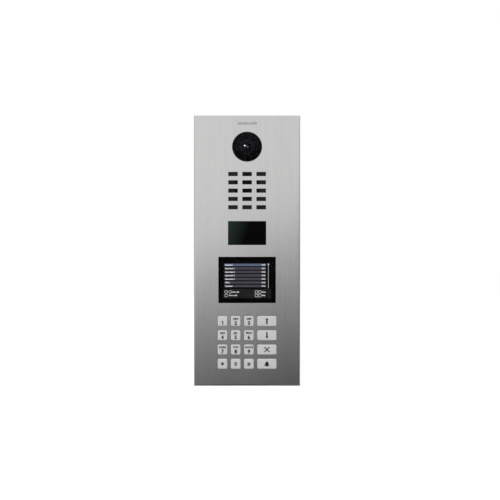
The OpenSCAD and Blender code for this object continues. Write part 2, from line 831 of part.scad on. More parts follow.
module display_frame() {
    color([0.1, 0.1, 0.11]) difference() {
        union() {
            at(0, display_z) block(frame_w, display_frame_h, display_frame_f, lip_rear_f);
            for (i = [12:15])
                at(stud_spots[i][0], stud_spots[i][1]) rod(boss_r, chassis_f + chassis_t, inner_f);
        }
        at(0, display_z) block(lcd_w + 2 * lcd_gap, lcd_h + 2 * lcd_gap, lcd_f, lip_rear_f + over);
        at(0, display_z) block(lcd_w - 2 * lcd_seat, lcd_h - 2 * lcd_seat, 0, face_f);
        stud_holes(12, 15, 0, face_f);
    }
}

module display_board() {
    color([0.05, 0.3, 0.15]) at(0, display_z)
        block(pocket_w, display_board_h, display_board_f, display_frame_f);
}

// ---- Keypad ----

module key(name) {
    k = KEYS[search([name], KEYS)[0]];
    w = key_width(k[1]);
    color([0.8, 0.8, 0.79]) at(key_x(k[1]), key_z(k[2])) {
        intersection() {
            ahead(key_rear_f, key_front_f + over) round_rect(w, key_h, key_corner_r);
            rounded_front(w, key_h, key_rear_f, key_front_f, key_edge_r);
        }
        ahead(key_rear_f, key_rear_f + lip_t)
            round_rect(w + 2 * key_lip, key_h + 2 * key_lip, key_corner_r + key_lip);
        if (name == "key_5") translate([w / 2 - dot_inset, -key_front_f, 0]) sphere(dot_r);
    }
}

module keypad_frame() {
    color([0.1, 0.1, 0.11]) difference() {
        union() {
            at(0, keypad_z) block(frame_w, keypad_frame_h, keypad_wall_f, inner_f);
            for (i = [16:19])
                at(stud_spots[i][0], stud_spots[i][1]) rod(boss_r, chassis_f + chassis_t, inner_f);
        }
        at(0, keypad_z) block(pocket_w, pocket_h, keypad_wall_f - over, mat_front_f);
        for (k = KEYS) at(key_x(k[1]), key_z(k[2])) ahead(mat_front_f - over, inner_f + over)
            key_shape(k, key_opening);
        stud_holes(16, 19, 0, face_f);
    }
}

module keypad_mat() {
    color([0.25, 0.25, 0.27]) {
        at(0, keypad_z) block(pocket_w - 2 * mat_clear, pocket_h - 2 * mat_clear, mat_f, mat_front_f);
        for (k = KEYS) at(key_x(k[1]), key_z(k[2])) translate([0, -mat_front_f, 0]) rotate([90, 0, 0])
            cylinder(r1 = mat_foot_r, r2 = mat_post_r, h = key_rear_f - mat_front_f);
    }
}

module keypad_board() {
    color([0.05, 0.3, 0.15]) at(0, keypad_z)
        block(pocket_w - 2 * mat_clear, pocket_h - 2 * mat_clear, keypad_board_f, mat_f);
}

// ---- Electronics behind the display and the keypad ----

module chassis_plate() {
    color([0.7, 0.7, 0.68]) {
        difference() {
            at(0, (chassis_top_z + chassis_bottom_z) / 2)
                block(frame_w, chassis_top_z - chassis_bottom_z, chassis_f, chassis_f + chassis_t);
            at(0, cable_slot_z)
                block(cable_slot_w, cable_slot_h, chassis_f - over, chassis_f + chassis_t + over);
            stud_holes(12, 19, 0, face_f);
        }
        board_posts() {
            rod(post_r, board_f + board_t, chassis_f + chassis_t / 2);
            rod(post_pin_r, board_f - post_pin_r, chassis_f);
        }
    }
}

module board_posts() {
    for (i = [-1, 1], k = [-1, 1]) at(i * board_post_x, board_z + k * board_post_z) children();
}

module main_board() {
    color([0.05, 0.3, 0.15]) difference() {
        at(0, board_z) block(board_w, board_l, board_f, board_f + board_t);
        board_posts() rod(post_pin_r + post_pin_gap, 0, face_f);
    }
}

module network_jack() {
    mouth_z = -jack_l / 2 + jack_mouth_l / 2;
    color([0.75, 0.75, 0.76]) at(-board_w / 4, connector_z + 1.5) difference() {
        block(jack_w, jack_l, board_f - jack_h, board_f);
        at(0, mouth_z - over) block(jack_mouth_w, jack_mouth_l, board_f - jack_h + 3, board_f - 3.5);
    }
}

module terminal_blocks() {
    block_l = ways * way_pitch + 0.4;
    wire_f = board_f - terminal_h / 2;
    color([0.1, 0.45, 0.25]) for (k = [0, 1])
        at(board_w / 4 - 3, connector_z + k * terminal_rows) difference() {
            block(block_l, terminal_d, board_f - terminal_h, board_f);
            for (i = [0:ways - 1]) at((i - (ways - 1) / 2) * way_pitch, 0) {
                at(0, -terminal_d / 2) block(way_w, terminal_d, wire_f, wire_f + way_w);
                at(0, way_w / 4) block(way_w, way_w, board_f - terminal_h - over, wire_f - over);
            }
        }
}

module processor_shield() {
    color([0.75, 0.75, 0.76]) at(-way_w, board_z + terminal_rows) difference() {
        block(shield_w, shield_w, board_f - shield_h, board_f);
        ahead(board_f - shield_h + shield_t, board_f + over)
            square(shield_w - 2 * shield_t, center = true);
    }
}

// A flat cable whose path is a list of level and height, with square bends
module ribbon(x, w, path) {
    for (i = [0:len(path) - 2]) {
        low = [min(path[i][0], path[i + 1][0]), min(path[i][1], path[i + 1][1])];
        high = [max(path[i][0], path[i + 1][0]), max(path[i][1], path[i + 1][1])];
        translate([x - w / 2, -high[0] - ribbon_half, low[1] - ribbon_half])
            cube([w, high[0] - low[0] + ribbon_t, high[1] - low[1] + ribbon_t]);
    }
}

// A cable from the rear of a piece down to the rear of the main board
module board_lead(x, w, start_f, start_z, run_f, end_z) {
    ribbon(x, w, [[start_f - ribbon_half, start_z], [run_f, start_z], [run_f, end_z], [cover_end_f, end_z]]);
}

// A cable from the rear of a board through the chassis plate to the front of the main board
module panel_lead(x, w, start_f, start_z, run_f) {
    ribbon(x, w, [[start_f - ribbon_half, start_z], [run_f, start_z], [run_f, cable_slot_z],
        [panel_end_f, cable_slot_z]]);
}

module ribbon_cables() {
    color([0.82, 0.82, 0.8]) {
        for (l = PANEL_LEADS) panel_lead(l[0], l[1], l[2], l[3], l[4]);
        for (l = BOARD_LEADS) board_lead(l[0], l[1], l[2], l[3], cover_rear_f + l[4], board_top_z - l[5]);
    }
}

module rear_cover() {
    color([0.7, 0.7, 0.68]) difference() {
        union() {
            at(0, (chassis_top_z + cover_flange_bottom_z) / 2)
                block(frame_w, chassis_top_z - cover_flange_bottom_z, cover_flange_f, chassis_f);
            at(0, cover_z) block(cover_w, cover_h, cover_rear_f, chassis_f);
        }
        at(0, cover_z - cover_wall)
            block(cover_w - 2 * cover_wall, cover_h, cover_rear_f + cover_wall, chassis_f + over);
        at(0, cover_top_z)
            block(cover_w - 4 * cover_wall, 4 * cover_wall, cover_rear_f + 2 * cover_wall, board_f);
        for (k = [-2:2]) at(0, cover_z + k * vent_pitch)
            block(cover_w / 2, vent_h, cover_rear_f - over, cover_rear_f + cover_wall + over);
        stud_holes(12, 17, 0, face_f);
    }
}

front_panel();
panel_studs();
stud_nuts();
panel_hooks();
wall_brackets();
security_screws();
rim_gasket();
back_box();
conduit_grommets();
camera_dome();
foam_seals();
camera_housing();
lens_hood();
lens_barrel();
front_lens();
image_sensor_board();
infrared_led_board();
infrared_leds();
speaker_mesh();
speaker_carrier();
speaker_basket();
speaker_cone();
speaker_magnet();
microphone();
microphone_boot();
sensor_window();
window_frame();
reader_board();
motion_sensor();
display_glass();
lcd_panel();
display_frame();
display_board();
keypad_frame();
keypad_mat();
keypad_board();
for (k = KEYS) key(k[0]);
chassis_plate();
main_board();
network_jack();
terminal_blocks();
processor_shield();
ribbon_cables();
rear_cover();
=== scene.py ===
"""A flush door intercom panel: the finishes, lettering, screen picture and fine pieces over its CAD frame.

Places are in metres. The front faces -Y, and a name that ends in _f is a distance forward, along -Y.
"""

import json
import math
import random

import bmesh
import bpy
from bpy.props import FloatProperty, FloatVectorProperty, PointerProperty
from mathutils import Matrix, Vector
from mathutils.bvhtree import BVHTree

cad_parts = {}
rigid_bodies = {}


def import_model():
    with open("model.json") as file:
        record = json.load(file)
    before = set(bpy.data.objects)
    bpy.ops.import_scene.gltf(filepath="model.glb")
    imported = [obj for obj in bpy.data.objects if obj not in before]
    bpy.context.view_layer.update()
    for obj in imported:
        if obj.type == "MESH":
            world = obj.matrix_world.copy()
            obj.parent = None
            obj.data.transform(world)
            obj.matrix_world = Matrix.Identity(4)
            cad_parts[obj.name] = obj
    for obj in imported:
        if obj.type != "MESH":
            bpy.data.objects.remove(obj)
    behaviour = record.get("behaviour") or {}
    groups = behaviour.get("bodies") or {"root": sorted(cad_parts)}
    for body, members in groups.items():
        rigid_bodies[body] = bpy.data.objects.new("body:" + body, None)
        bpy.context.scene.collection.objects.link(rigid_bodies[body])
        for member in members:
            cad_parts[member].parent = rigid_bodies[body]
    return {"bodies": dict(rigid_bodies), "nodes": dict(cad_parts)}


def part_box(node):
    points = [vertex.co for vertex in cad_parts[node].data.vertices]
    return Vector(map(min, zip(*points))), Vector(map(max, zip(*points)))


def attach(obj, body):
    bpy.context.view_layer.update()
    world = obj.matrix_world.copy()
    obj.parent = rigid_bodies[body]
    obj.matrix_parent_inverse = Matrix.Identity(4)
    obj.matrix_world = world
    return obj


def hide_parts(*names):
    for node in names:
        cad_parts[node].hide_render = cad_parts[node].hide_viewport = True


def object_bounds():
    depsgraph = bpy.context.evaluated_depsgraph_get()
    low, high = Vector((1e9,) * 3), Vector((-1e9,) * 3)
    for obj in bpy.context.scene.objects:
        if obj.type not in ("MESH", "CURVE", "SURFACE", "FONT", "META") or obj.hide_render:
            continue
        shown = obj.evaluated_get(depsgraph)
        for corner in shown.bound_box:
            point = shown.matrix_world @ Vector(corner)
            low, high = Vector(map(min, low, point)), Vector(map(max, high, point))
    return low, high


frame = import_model()
CAD_BOX = [list(corner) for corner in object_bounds()]

bl_info = {
    "name": "Door intercom panel",
    "version": (1, 0, 0),
    "blender": (4, 5, 0),
    "location": "View3D > Sidebar > Intercom",
    "description": "Builds a steel door intercom panel with its keypad, screen and camera",
    "category": "Add Mesh",
}

MM = 0.001
PANEL = "panel"
CAPITAL_SHARE = 0.729  # a capital's height over the built-in font's size
KEY_LETTERS = dict(zip("123456789", ("", "ABC", "DEF", "GHI", "JKL", "MNO", "PQRS", "TUV", "WXYZ")))
DIRECTORY = ("Reception", "Apartment 1", "Apartment 2", "Apartment 3", "Apartment 4", "Office", "Caretaker")


# ---- Settings ----


def length(name, description, default):
    return FloatProperty(name=name, description=description, default=default, unit="LENGTH", precision=5)


def colour(name, description, default):
    return FloatVectorProperty(
        name=name, description=description, default=default, subtype="COLOR", min=0.0, max=1.0
    )


class INTERCOM_PG_sizes(bpy.types.PropertyGroup):
    """Sizes that the fine pieces are made to."""

    edge_r: length("Edge radius", "Radius broken on the sheet metal's cut edges", 0.15 * MM)
    key_edge_r: length("Key edge radius", "Radius round a key's front edges", 0.75 * MM)
    key_crown: length("Key crown", "How far the middle of a key's face stands above its rim", 0.06 * MM)
    digit_h: length("Digit height", "Height of the digits on the keys", 4.8 * MM)
    letter_h: length("Letter height", "Height of the small letters on the keys", 2.6 * MM)
    paint_t: length("Paint thickness", "How far the key legends stand proud", 0.03 * MM)
    word_h: length("Word height", "Height of the etched word above the camera", 3.5 * MM)
    wire_r: length("Wire radius", "Radius of a wire of the speaker mesh", 0.14 * MM)
    wire_pitch: length("Wire pitch", "Distance between wires of the speaker mesh", 1.1 * MM)


class INTERCOM_PG_colours(bpy.types.PropertyGroup):
    """Colours of the finishes and of the screen's picture."""

    steel: colour("Stainless", "The front's brushed stainless steel", (0.60, 0.60, 0.595))
    keys: colour("Keys", "The keys' satin metal", (0.62, 0.62, 0.62))
    legend: colour("Legends", "Paint of the key legends", (0.006, 0.006, 0.0065))
    zinc: colour("Galvanised", "Galvanised sheet of the wall box", (0.46, 0.48, 0.50))
    board: colour("Circuit board", "Solder mask of the circuit boards", (0.008, 0.078, 0.032))
    chosen_row: colour("Chosen row", "Highlight of the chosen line on the screen", (0.115, 0.145, 0.225))
    row: colour("Row", "Lines of the screen's list", (0.060, 0.056, 0.072))
    screen_text: colour("Screen text", "Lettering on the screen", (0.85, 0.86, 0.90))


class INTERCOM_PG_studio(bpy.types.PropertyGroup):
    """The camera and the light."""

    lens: FloatProperty(
        name="Lens", description="Focal length of the camera", default=120.0, subtype="DISTANCE_CAMERA"
    )
    view_w: length("View width", "Width of what the camera sees at the panel's face", 0.6673)
    aside: length("Camera aside", "How far right of the panel's middle the camera stands", 3.87 * MM)
    above: length("Camera above", "How far above the panel's middle the camera stands", 0.8 * MM)
    daylight: FloatProperty(name="Surround", description="Brightness of the white surround", default=1.0)


# ---- Shader maths ----


class Reading:
    """An output of a node. Arithmetic on it adds Math nodes."""

    def __init__(self, work, socket):
        self.work = work
        self.socket = socket

    def maths(self, operation, *terms):
        return self.work.node("ShaderNodeMath", {"operation": operation}, dict(enumerate(terms)))

    def __add__(self, other):
        return self.maths("ADD", self, other)

    def __sub__(self, other):
        return self.maths("SUBTRACT", self, other)

    def __rsub__(self, other):
        return self.maths("SUBTRACT", other, self)

    def __mul__(self, other):
        return self.maths("MULTIPLY", self, other)

    __radd__ = __add__
    __rmul__ = __mul__


class NodeWork:
    """A node tree under construction."""

    def __init__(self, tree):
        self.tree = tree

    def node(self, kind, settings=None, inputs=None, output=0):
        """Adds a node, sets it up, fills its inputs and returns one of its outputs."""
        made = self.tree.nodes.new(kind)
        for name, value in (settings or {}).items():
            if name == "stops":
                self.set_stops(made.color_ramp, value)
            else:
                setattr(made, name, value)
        for name, value in (inputs or {}).items():
            self.fill(made.inputs[name], value)
        return Reading(self, made.outputs[output])

    def set_stops(self, ramp, stops):
        """Gives a ramp its stops, each a place and a grey level."""
        while len(ramp.elements) > len(stops):
            ramp.elements.remove(ramp.elements[-1])
        while len(ramp.elements) < len(stops):
            ramp.elements.new(1.0)
        for element, (place, level) in zip(ramp.elements, stops):
            element.position = place
            element.color = (level, level, level, 1.0)

    def fill(self, socket, value):
        if isinstance(value, Reading):
            self.tree.links.new(value.socket, socket)
        else:
            socket.default_value = value

    def axis(self, point, name):
        """How far a point lies along X, Y or Z."""
        return self.node("ShaderNodeSeparateXYZ", None, {0: point}, name)

    def ramp(self, value, *stops):
        return self.node("ShaderNodeValToRGB", {"stops": stops}, {"Fac": value})

    def mix(self, share, first, second):
        """The first colour turning to the second as share goes from 0 to 1."""
        settings = {"data_type": "RGBA", "clamp_factor": True}
        return self.node("ShaderNodeMix", settings, {0: share, 6: first, 7: second}, 2)


class Finish(NodeWork):
    """A material under construction, with one principled shader."""

    def __init__(self, name, base, roughness, metallic=0.0, **fixed):
        self.material = bpy.data.materials.new(name)
        self.material.use_nodes = True
        super().__init__(self.material.node_tree)
        self.shader = self.tree.nodes["Principled BSDF"]
        self.feed("Base Color", (*base, 1.0))
        self.feed("Roughness", roughness)
        self.feed("Metallic", metallic)
        for socket, value in fixed.items():
            self.feed(socket.replace("_", " ").title().replace("Ior", "IOR"), value)

    def feed(self, name, value):
        self.fill(self.shader.inputs[name], value)

    def place(self, stretch=(1.0, 1.0, 1.0)):
        """The point on the piece, in metres, stretched along X, Y and Z."""
        point = self.node("ShaderNodeTexCoord", output="Object")
        return self.node("ShaderNodeVectorMath", {"operation": "MULTIPLY"}, {0: point, 1: stretch})

    def flat_place(self):
        """The point seen from the front, X and Z laid out as X and Y."""
        point = self.place()
        flat = {"X": self.axis(point, "X"), "Y": self.axis(point, "Z")}
        return self.node("ShaderNodeCombineXYZ", None, flat)

    def noise(self, stretch, detail=3.0, coarse=0.55):
        """Noise with its cells per metre, the same all ways or along X, Y and Z. It averages a half."""
        along = stretch if isinstance(stretch, tuple) else (stretch,) * 3
        inputs = {"Vector": self.place(along), "Scale": 1.0, "Detail": detail, "Roughness": coarse}
        return self.node("ShaderNodeTexNoise", None, inputs)

    def cells(self, per_metre, output="Distance"):
        inputs = {"Vector": self.place((per_metre,) * 3), "Scale": 1.0}
        return self.node("ShaderNodeTexVoronoi", None, inputs, output)

    def tint(self, base, share, darker, lighter):
        """Base colour that wanders between a darker and a lighter share of itself."""
        low = (*(c * darker for c in base), 1.0)
        high = (*(min(1.0, c * lighter) for c in base), 1.0)
        self.feed("Base Color", self.mix(share, low, high))

    def wander(self, base, share, tones, roughness):
        """Carries the colour between two shares of itself and the roughness between two values."""
        smooth, rough = roughness
        self.tint(base, share, *tones)
        self.feed("Roughness", share * (rough - smooth) + smooth)

    def emboss(self, height, distance, strength=0.5):
        """A bump of that height in metres."""
        inputs = {"Height": height, "Distance": distance, "Strength": strength}
        self.feed("Normal", self.node("ShaderNodeBump", None, inputs))


# ---- Finishes ----


def brushed_stainless(base):
    """Upright hairline grain with faint broader streaks and rub marks."""
    steel = Finish("brushed_stainless", base, 0.3, 1.0, anisotropic=0.85)
    hairlines = steel.noise((5200.0, 5200.0, 40.0), 5.0, 0.7)
    strokes = steel.noise((900.0, 900.0, 7.0), 2.0)
    clouds = steel.noise((22.0, 22.0, 6.0), 2.0)
    grain = hairlines * 0.75 + strokes * 0.25
    lines = steel.ramp(grain, (0.3, 0.0), (0.7, 1.0))
    steel.tint(base, lines * 0.7 + clouds * 0.3, 0.84, 1.16)
    steel.feed("Roughness", 0.13 + lines * 0.05 + clouds * 0.03)
    steel.emboss(grain, 0.003 * MM)
    return steel.material


def satin_key_metal(base):
    """Bead-blasted cast metal with polished rims, whose lighter colour is a painted highlight."""
    metal = Finish("satin_key_metal", base, 0.45, 0.55)
    grit = metal.noise(5200.0, 2.0)
    wear = metal.noise(260.0)
    facing = metal.axis(metal.node("ShaderNodeTexCoord", output="Normal"), "Y")
    # The rims, where the face turns away from the front, are smoother as polished wear and painted lighter as
    # a painted highlight.
    rim = metal.ramp(1 + facing, (0.01, 0.0), (0.35, 1.0))
    metal.tint(base, grit * 0.15 + wear * 0.25 + rim * 0.6, 0.9, 1.5)
    metal.feed("Roughness", 0.38 + wear * 0.16 - rim * 0.14)
    metal.emboss(grit, 0.012 * MM)
    return metal.material


def legend_paint(base):
    paint = Finish("legend_paint", base, 0.5, specular_ior_level=0.12)
    paint.wander(base, paint.noise(6000.0, 2.0), (0.6, 1.6), (0.35, 0.6))
    return paint.material


def etched_steel():
    """The dark, rough floor of an etched word."""
    base = (0.02, 0.02, 0.021)
    etch = Finish("etched_word", base, 0.6, 0.4)
    etch.wander(base, etch.noise(5000.0), (0.6, 1.5), (0.5, 0.7))
    return etch.material


def plated_hardware(name="plated_hardware"):
    """Zinc or tin plate, slightly cloudy."""
    base = (0.58, 0.57, 0.54)
    zinc = Finish(name, base, 0.3, 1.0)
    zinc.wander(base, zinc.noise(420.0, 4.0), (0.75, 1.15), (0.2, 0.45))
    zinc.emboss(zinc.noise(3000.0), 0.01 * MM, 0.4)
    return zinc.material


def galvanised_sheet(base):
    """Hot-dipped sheet with a soft spangle and faint handling marks."""
    sheet = Finish("galvanised_sheet", base, 0.42, 0.85)
    coarse = sheet.node("ShaderNodeSeparateColor", None, {"Color": sheet.cells(210.0, "Color")})
    fine = sheet.node("ShaderNodeSeparateColor", None, {"Color": sheet.cells(520.0, "Color")}, 1)
    flake = coarse * 0.6 + fine * 0.4
    smear = sheet.noise((60.0, 60.0, 18.0), 4.0)
    sheet.tint(base, flake * 0.5 + smear * 0.5, 0.84, 1.14)
    sheet.feed("Roughness", 0.32 + flake * 0.1 + smear * 0.12)
    sheet.emboss(sheet.noise(900.0, 4.0), 0.02 * MM)
    return sheet.material


def dark_metal(name, base, roughness, metallic=0.35):
    """Painted or anodised metal with a fine orange-peel skin."""
    metal = Finish(name, base, roughness, metallic, specular_ior_level=0.2)
    skin = metal.noise(1500.0)
    metal.wander(base, skin, (0.75, 1.35), (roughness - 0.1, roughness + 0.1))
    metal.emboss(skin, 0.02 * MM)
    return metal.material


def closed_cell_foam():
    base = (0.022, 0.022, 0.023)
    foam = Finish("closed_cell_foam", base, 0.9)
    cell = foam.cells(2600.0)
    foam.wander(base, cell, (0.5, 1.9), (0.8, 1.0))
    foam.emboss(cell, 0.15 * MM, 0.8)
    return foam.material


def rubber(name, base, roughness):
    """Moulded rubber with a dusty bloom."""
    skin = Finish(name, base, roughness)
    skin.wander(base, skin.noise(160.0, 4.0), (0.7, 1.5), (roughness - 0.1, roughness + 0.1))
    skin.emboss(skin.noise(4200.0, 2.0), 0.02 * MM)
    return skin.material


def moulded_plastic(name, base, roughness):
    """Spark-eroded texture, as on an injection-moulded part."""
    plastic = Finish(name, base, roughness)
    texture = plastic.noise(2600.0)
    flow = plastic.noise(70.0, 2.0)
    plastic.tint(base, flow * 0.6 + texture * 0.4, 0.75, 1.3)
    plastic.feed("Roughness", texture * 0.18 + (roughness - 0.09))
    plastic.emboss(texture, 0.03 * MM)
    return plastic.material


def clear_gloss(name, base, alpha, level, roughness=0.03):
    """A glossy see-through or black window with the faintest wipe marks."""
    window = Finish(name, base, roughness, alpha=alpha, specular_ior_level=level)
    window.wander(base, window.noise((24.0, 24.0, 90.0), 4.0), (0.7, 1.3), (roughness, roughness + 0.05))
    return window.material


def black_acrylic(low, high):
    """Black acrylic over the motion sensor, with a painted reflection that lightens it towards its upper left
    corner.
    """
    acrylic = Finish("black_acrylic", (0.0, 0.0, 0.0), 0.03, specular_ior_level=0.03)
    point = acrylic.place()
    across = (acrylic.axis(point, "X") - low.x) * (1 / (high.x - low.x))
    down = (high.z - acrylic.axis(point, "Z")) * (1 / (high.z - low.z))
    # Painted reflection: the colour turns from black to a dark teal grey towards the upper left.
    painted_sheen = acrylic.ramp(across + down * 0.25, (0.12, 1.0), (0.62, 0.0))
    black, sheen_tint = (0.0004, 0.0004, 0.0004, 1.0), (0.0125, 0.0185, 0.0185, 1.0)
    acrylic.feed("Base Color", acrylic.mix(painted_sheen, black, sheen_tint))
    acrylic.feed("Roughness", acrylic.noise((24.0, 24.0, 90.0), 4.0) * 0.05 + 0.03)
    return acrylic.material


def coated_lens():
    """Glass with a blue and violet anti-reflection coat."""
    glass = Finish("coated_lens", (0.05, 0.07, 0.12), 0.02, alpha=0.35, specular_ior_level=1.0)
    coat = glass.node("ShaderNodeLayerWeight", None, {"Blend": 0.35}, "Facing")
    blue, violet = (0.02, 0.03, 0.10, 1.0), (0.14, 0.05, 0.16, 1.0)
    glass.feed("Base Color", glass.mix(coat, blue, violet))
    glass.feed("Roughness", 0.02 + glass.noise(800.0) * 0.03)
    return glass.material


def lens_ring_painted_sheen():
    # The light blue-grey is a painted highlight of the hood's and barrel's front edges, on real half-round
    # rings.
    base = (0.2, 0.22, 0.32)
    enamel_and_sheen = Finish("lens_ring_painted_sheen", base, 0.35, 0.6)
    enamel_and_sheen.wander(base, enamel_and_sheen.noise(1500.0), (0.6, 1.5), (0.28, 0.43))
    return enamel_and_sheen.material


def painted_highlight_element(middle):
    """An inner lens with a painted highlight: its colour is pale in the middle and fades to dark blue at its
    rim.
    """
    element = Finish("lens_element", (0.75, 0.76, 0.82), 0.3, 0.2)
    reach = {0: element.place(), 1: middle}
    apart = element.node("ShaderNodeVectorMath", {"operation": "DISTANCE"}, reach, "Value")
    bloom = element.noise(1200.0)
    # Painted highlight: pale in the middle, fading to dark blue at the rim.
    highlight_fade = element.ramp(apart * 430.0 + bloom * 0.1, (0.4, 0.0), (1.0, 1.0))
    pale, rim = (1.0, 0.99, 0.98, 1.0), (0.03, 0.035, 0.09, 1.0)
    element.feed("Base Color", element.mix(highlight_fade, pale, rim))
    element.feed("Roughness", 0.2 + bloom * 0.2)
    return element.material


def circuit_board(base, name="circuit_board"):
    """Solder mask with the tracks showing faintly through it."""
    board = Finish(name, base, 0.35, specular_ior_level=0.6)
    layout = {"offset": 0.35, "squash": 2.2, "squash_frequency": 3}
    sizes = {"Scale": 420.0, "Brick Width": 1.7, "Row Height": 0.55}
    gaps = {"Mortar Size": 0.035, "Mortar Smooth": 0.4}
    inputs = {"Vector": board.flat_place(), **sizes, **gaps}
    tracks = board.node("ShaderNodeTexBrick", layout, inputs, "Fac")
    haze = board.noise(130.0)
    mask = (*base, 1.0)
    copper = (*(min(1.0, c * 2.4 + 0.01) for c in base), 1.0)
    board.feed("Base Color", board.mix(tracks * 0.8 + haze * 0.2, mask, copper))
    board.feed("Roughness", 0.28 + haze * 0.14)
    board.emboss(tracks, 0.035 * MM, 0.6)
    return board.material


def lamp_epoxy():
    base = (0.012, 0.008, 0.014)
    epoxy = Finish("infrared_lamp", base, 0.08, alpha=0.85, specular_ior_level=0.15)
    epoxy.wander(base, epoxy.noise(700.0), (0.7, 1.5), (0.05, 0.15))
    return epoxy.material


def pressed_paper():
    base = (0.012, 0.012, 0.013)
    paper = Finish("speaker_paper", base, 0.85, specular_ior_level=0.2)
    fibre = paper.noise((1800.0, 1800.0, 2600.0), 5.0, 0.7)
    paper.wander(base, fibre, (0.5, 1.7), (0.7, 0.95))
    paper.emboss(fibre, 0.05 * MM, 0.7)
    return paper.material


def ribbon_jacket():
    """Grey jacket over side by side conductors."""
    base = (0.42, 0.42, 0.40)
    jacket = Finish("ribbon_jacket", base, 0.5)
    bands = {"wave_type": "BANDS", "bands_direction": "X", "wave_profile": "SIN"}
    sizes = {"Vector": jacket.place(), "Scale": 125.0, "Distortion": 0.0}
    strands = jacket.node("ShaderNodeTexWave", bands, sizes, "Fac")
    dust = jacket.noise(300.0)
    jacket.tint(base, strands * 0.7 + dust * 0.3, 0.72, 1.15)
    jacket.feed("Roughness", 0.42 + dust * 0.16)
    jacket.emboss(strands, 0.25 * MM, 0.6)
    return jacket.material


def lit(name, base, strength):
    """Something that the screen's back light shines through, with a fine dot pattern."""
    shine = Finish(name, (0.01, 0.01, 0.012), 0.4, emission_strength=strength, specular_ior_level=0.0)
    dim = (*(c * 0.9 for c in base), 1.0)
    bright = (*(min(1.0, c * 1.1) for c in base), 1.0)
    shine.feed("Emission Color", shine.mix(shine.noise(2400.0, 1.0), dim, bright))
    return shine.material


# ---- Mesh work ----


def spot(x, z, forward):
    return Vector((x, -forward, z))


def circle(count):
    """Points of a unit circle."""
    turns = [2 * math.pi * i / count for i in range(count)]
    return [(math.cos(turn), math.sin(turn)) for turn in turns]


def quarter_turn(steps):
    return [i / steps * math.pi / 2 for i in range(steps + 1)]


def rounded_outline(w, h, r, steps=6):
    """Corner by corner, the points round an upright rectangle with rounded corners."""
    points = []
    for quarter, (sx, sz) in enumerate(((1, -1), (1, 1), (-1, 1), (-1, -1))):
        start = (quarter - 1) * math.pi / 2
        for turn in quarter_turn(steps):
            x = sx * (w / 2 - r) + r * math.cos(start + turn)
            z = sz * (h / 2 - r) + r * math.sin(start + turn)
            points.append((x, z))
    return points


def loft(mesh, rings, closed=True):
    """Joins rings of points with quads, and caps both ends unless the loft closes on itself."""
    made = [[mesh.verts.new(point) for point in ring] for ring in rings]
    following = made[1:] + ([] if closed else [made[0]])
    for near, far in zip(made, following):
        for i in range(len(near)):
            j = (i + 1) % len(near)
            mesh.faces.new((near[i], near[j], far[j], far[i]))
    if closed:
        mesh.faces.new(list(reversed(made[0])))
        mesh.faces.new(made[-1])


def slab(mesh, x, z, w, h, rear_f, front_f, r=0.0, edge=0.0):
    """An upright plate with rounded corners and, with an edge, a broken front rim."""
    corner = max(r, edge + 1e-6)
    steps = 5 if r > 0 else 1
    halfway = 0.29 * edge
    levels = [(0.0, rear_f), (0.0, front_f - edge)]
    if edge > 0:
        levels += [(halfway, front_f - halfway), (edge, front_f)]
    rings = []
    for inset, level in levels:
        outline = rounded_outline(w - 2 * inset, h - 2 * inset, max(corner - inset, 1e-7), steps)
        rings.append([spot(x + px, z + pz, level) for px, pz in outline])
    loft(mesh, rings)


def open_frame(mesh, x, z, w, h, r, wall, rear_f, front_f):
    """An upright rounded rectangle with a hole that leaves a wall all round."""
    rings = []
    for inset, level in ((0.0, rear_f), (0.0, front_f), (wall, front_f), (wall, rear_f)):
        outline = rounded_outline(w - 2 * inset, h - 2 * inset, r - inset, 5)
        rings.append([spot(x + px, z + pz, level) for px, pz in outline])
    loft(mesh, rings, closed=False)


def turned(mesh, x, z, profile, segments=48, closed=True):
    """Turns a profile of radius and forward pairs round a line that points forward."""
    rings = []
    for radius, level in profile:
        r = max(radius, 1e-6)
        rings.append([spot(x + r * px, z + r * pz, level) for px, pz in circle(segments)])
    loft(mesh, rings, closed)


def prism(mesh, outline, rear_f, front_f):
    """An upright outline given any thickness."""
    area = sum(a[0] * b[1] - b[0] * a[1] for a, b in zip(outline, outline[1:] + outline[:1]))
    ordered = outline if area > 0 else outline[::-1]
    loft(mesh, [[spot(x, z, level) for x, z in ordered] for level in (rear_f, front_f)])


def arc(x, z, radius, first, last, steps=12):
    turns = [math.radians(first + (last - first) * i / steps) for i in range(steps + 1)]
    return [(x + radius * math.cos(t), z + radius * math.sin(t)) for t in turns]


def lettering(mesh, text, x, z, height, rear_f, front_f, align="CENTER", spread=1.0, bold=0.0, skin=None):
    """Adds text centred on z as a solid between two levels, pushed forward by a skin if it has one."""
    curve = bpy.data.curves.new("lettering", "FONT")
    curve.body = text
    curve.align_x = align
    curve.size = height / CAPITAL_SHARE
    curve.space_character = spread
    curve.offset = bold
    curve.extrude = (front_f - rear_f) / 2
    curve.resolution_u = 3
    holder = bpy.data.objects.new("lettering", curve)
    made = bpy.data.meshes.new_from_object(holder)
    foot = Matrix.Translation(spot(x, z - height / 2, (front_f + rear_f) / 2))
    made.transform(foot @ Matrix.Rotation(math.pi / 2, 4, "X"))
    if skin:
        for vertex in made.vertices:
            vertex.co.y -= skin(vertex.co.x, vertex.co.z)
    mesh.from_mesh(made)
    bpy.data.objects.remove(holder)
    bpy.data.curves.remove(curve)
    bpy.data.meshes.remove(made)


def piece(name, mesh, material, body=PANEL, replaces=(), smooth_deg=35.0):
    """Turns finished mesh work into a piece that rides on a body."""
    bmesh.ops.remove_doubles(mesh, verts=mesh.verts, dist=1e-8)
    bmesh.ops.recalc_face_normals(mesh, faces=mesh.faces)
    made = stand(name, mesh, material)
    made.data.shade_smooth()
    made.data.set_sharp_from_angle(angle=math.radians(smooth_deg))
    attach(made, body)
    if replaces:
        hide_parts(*replaces)


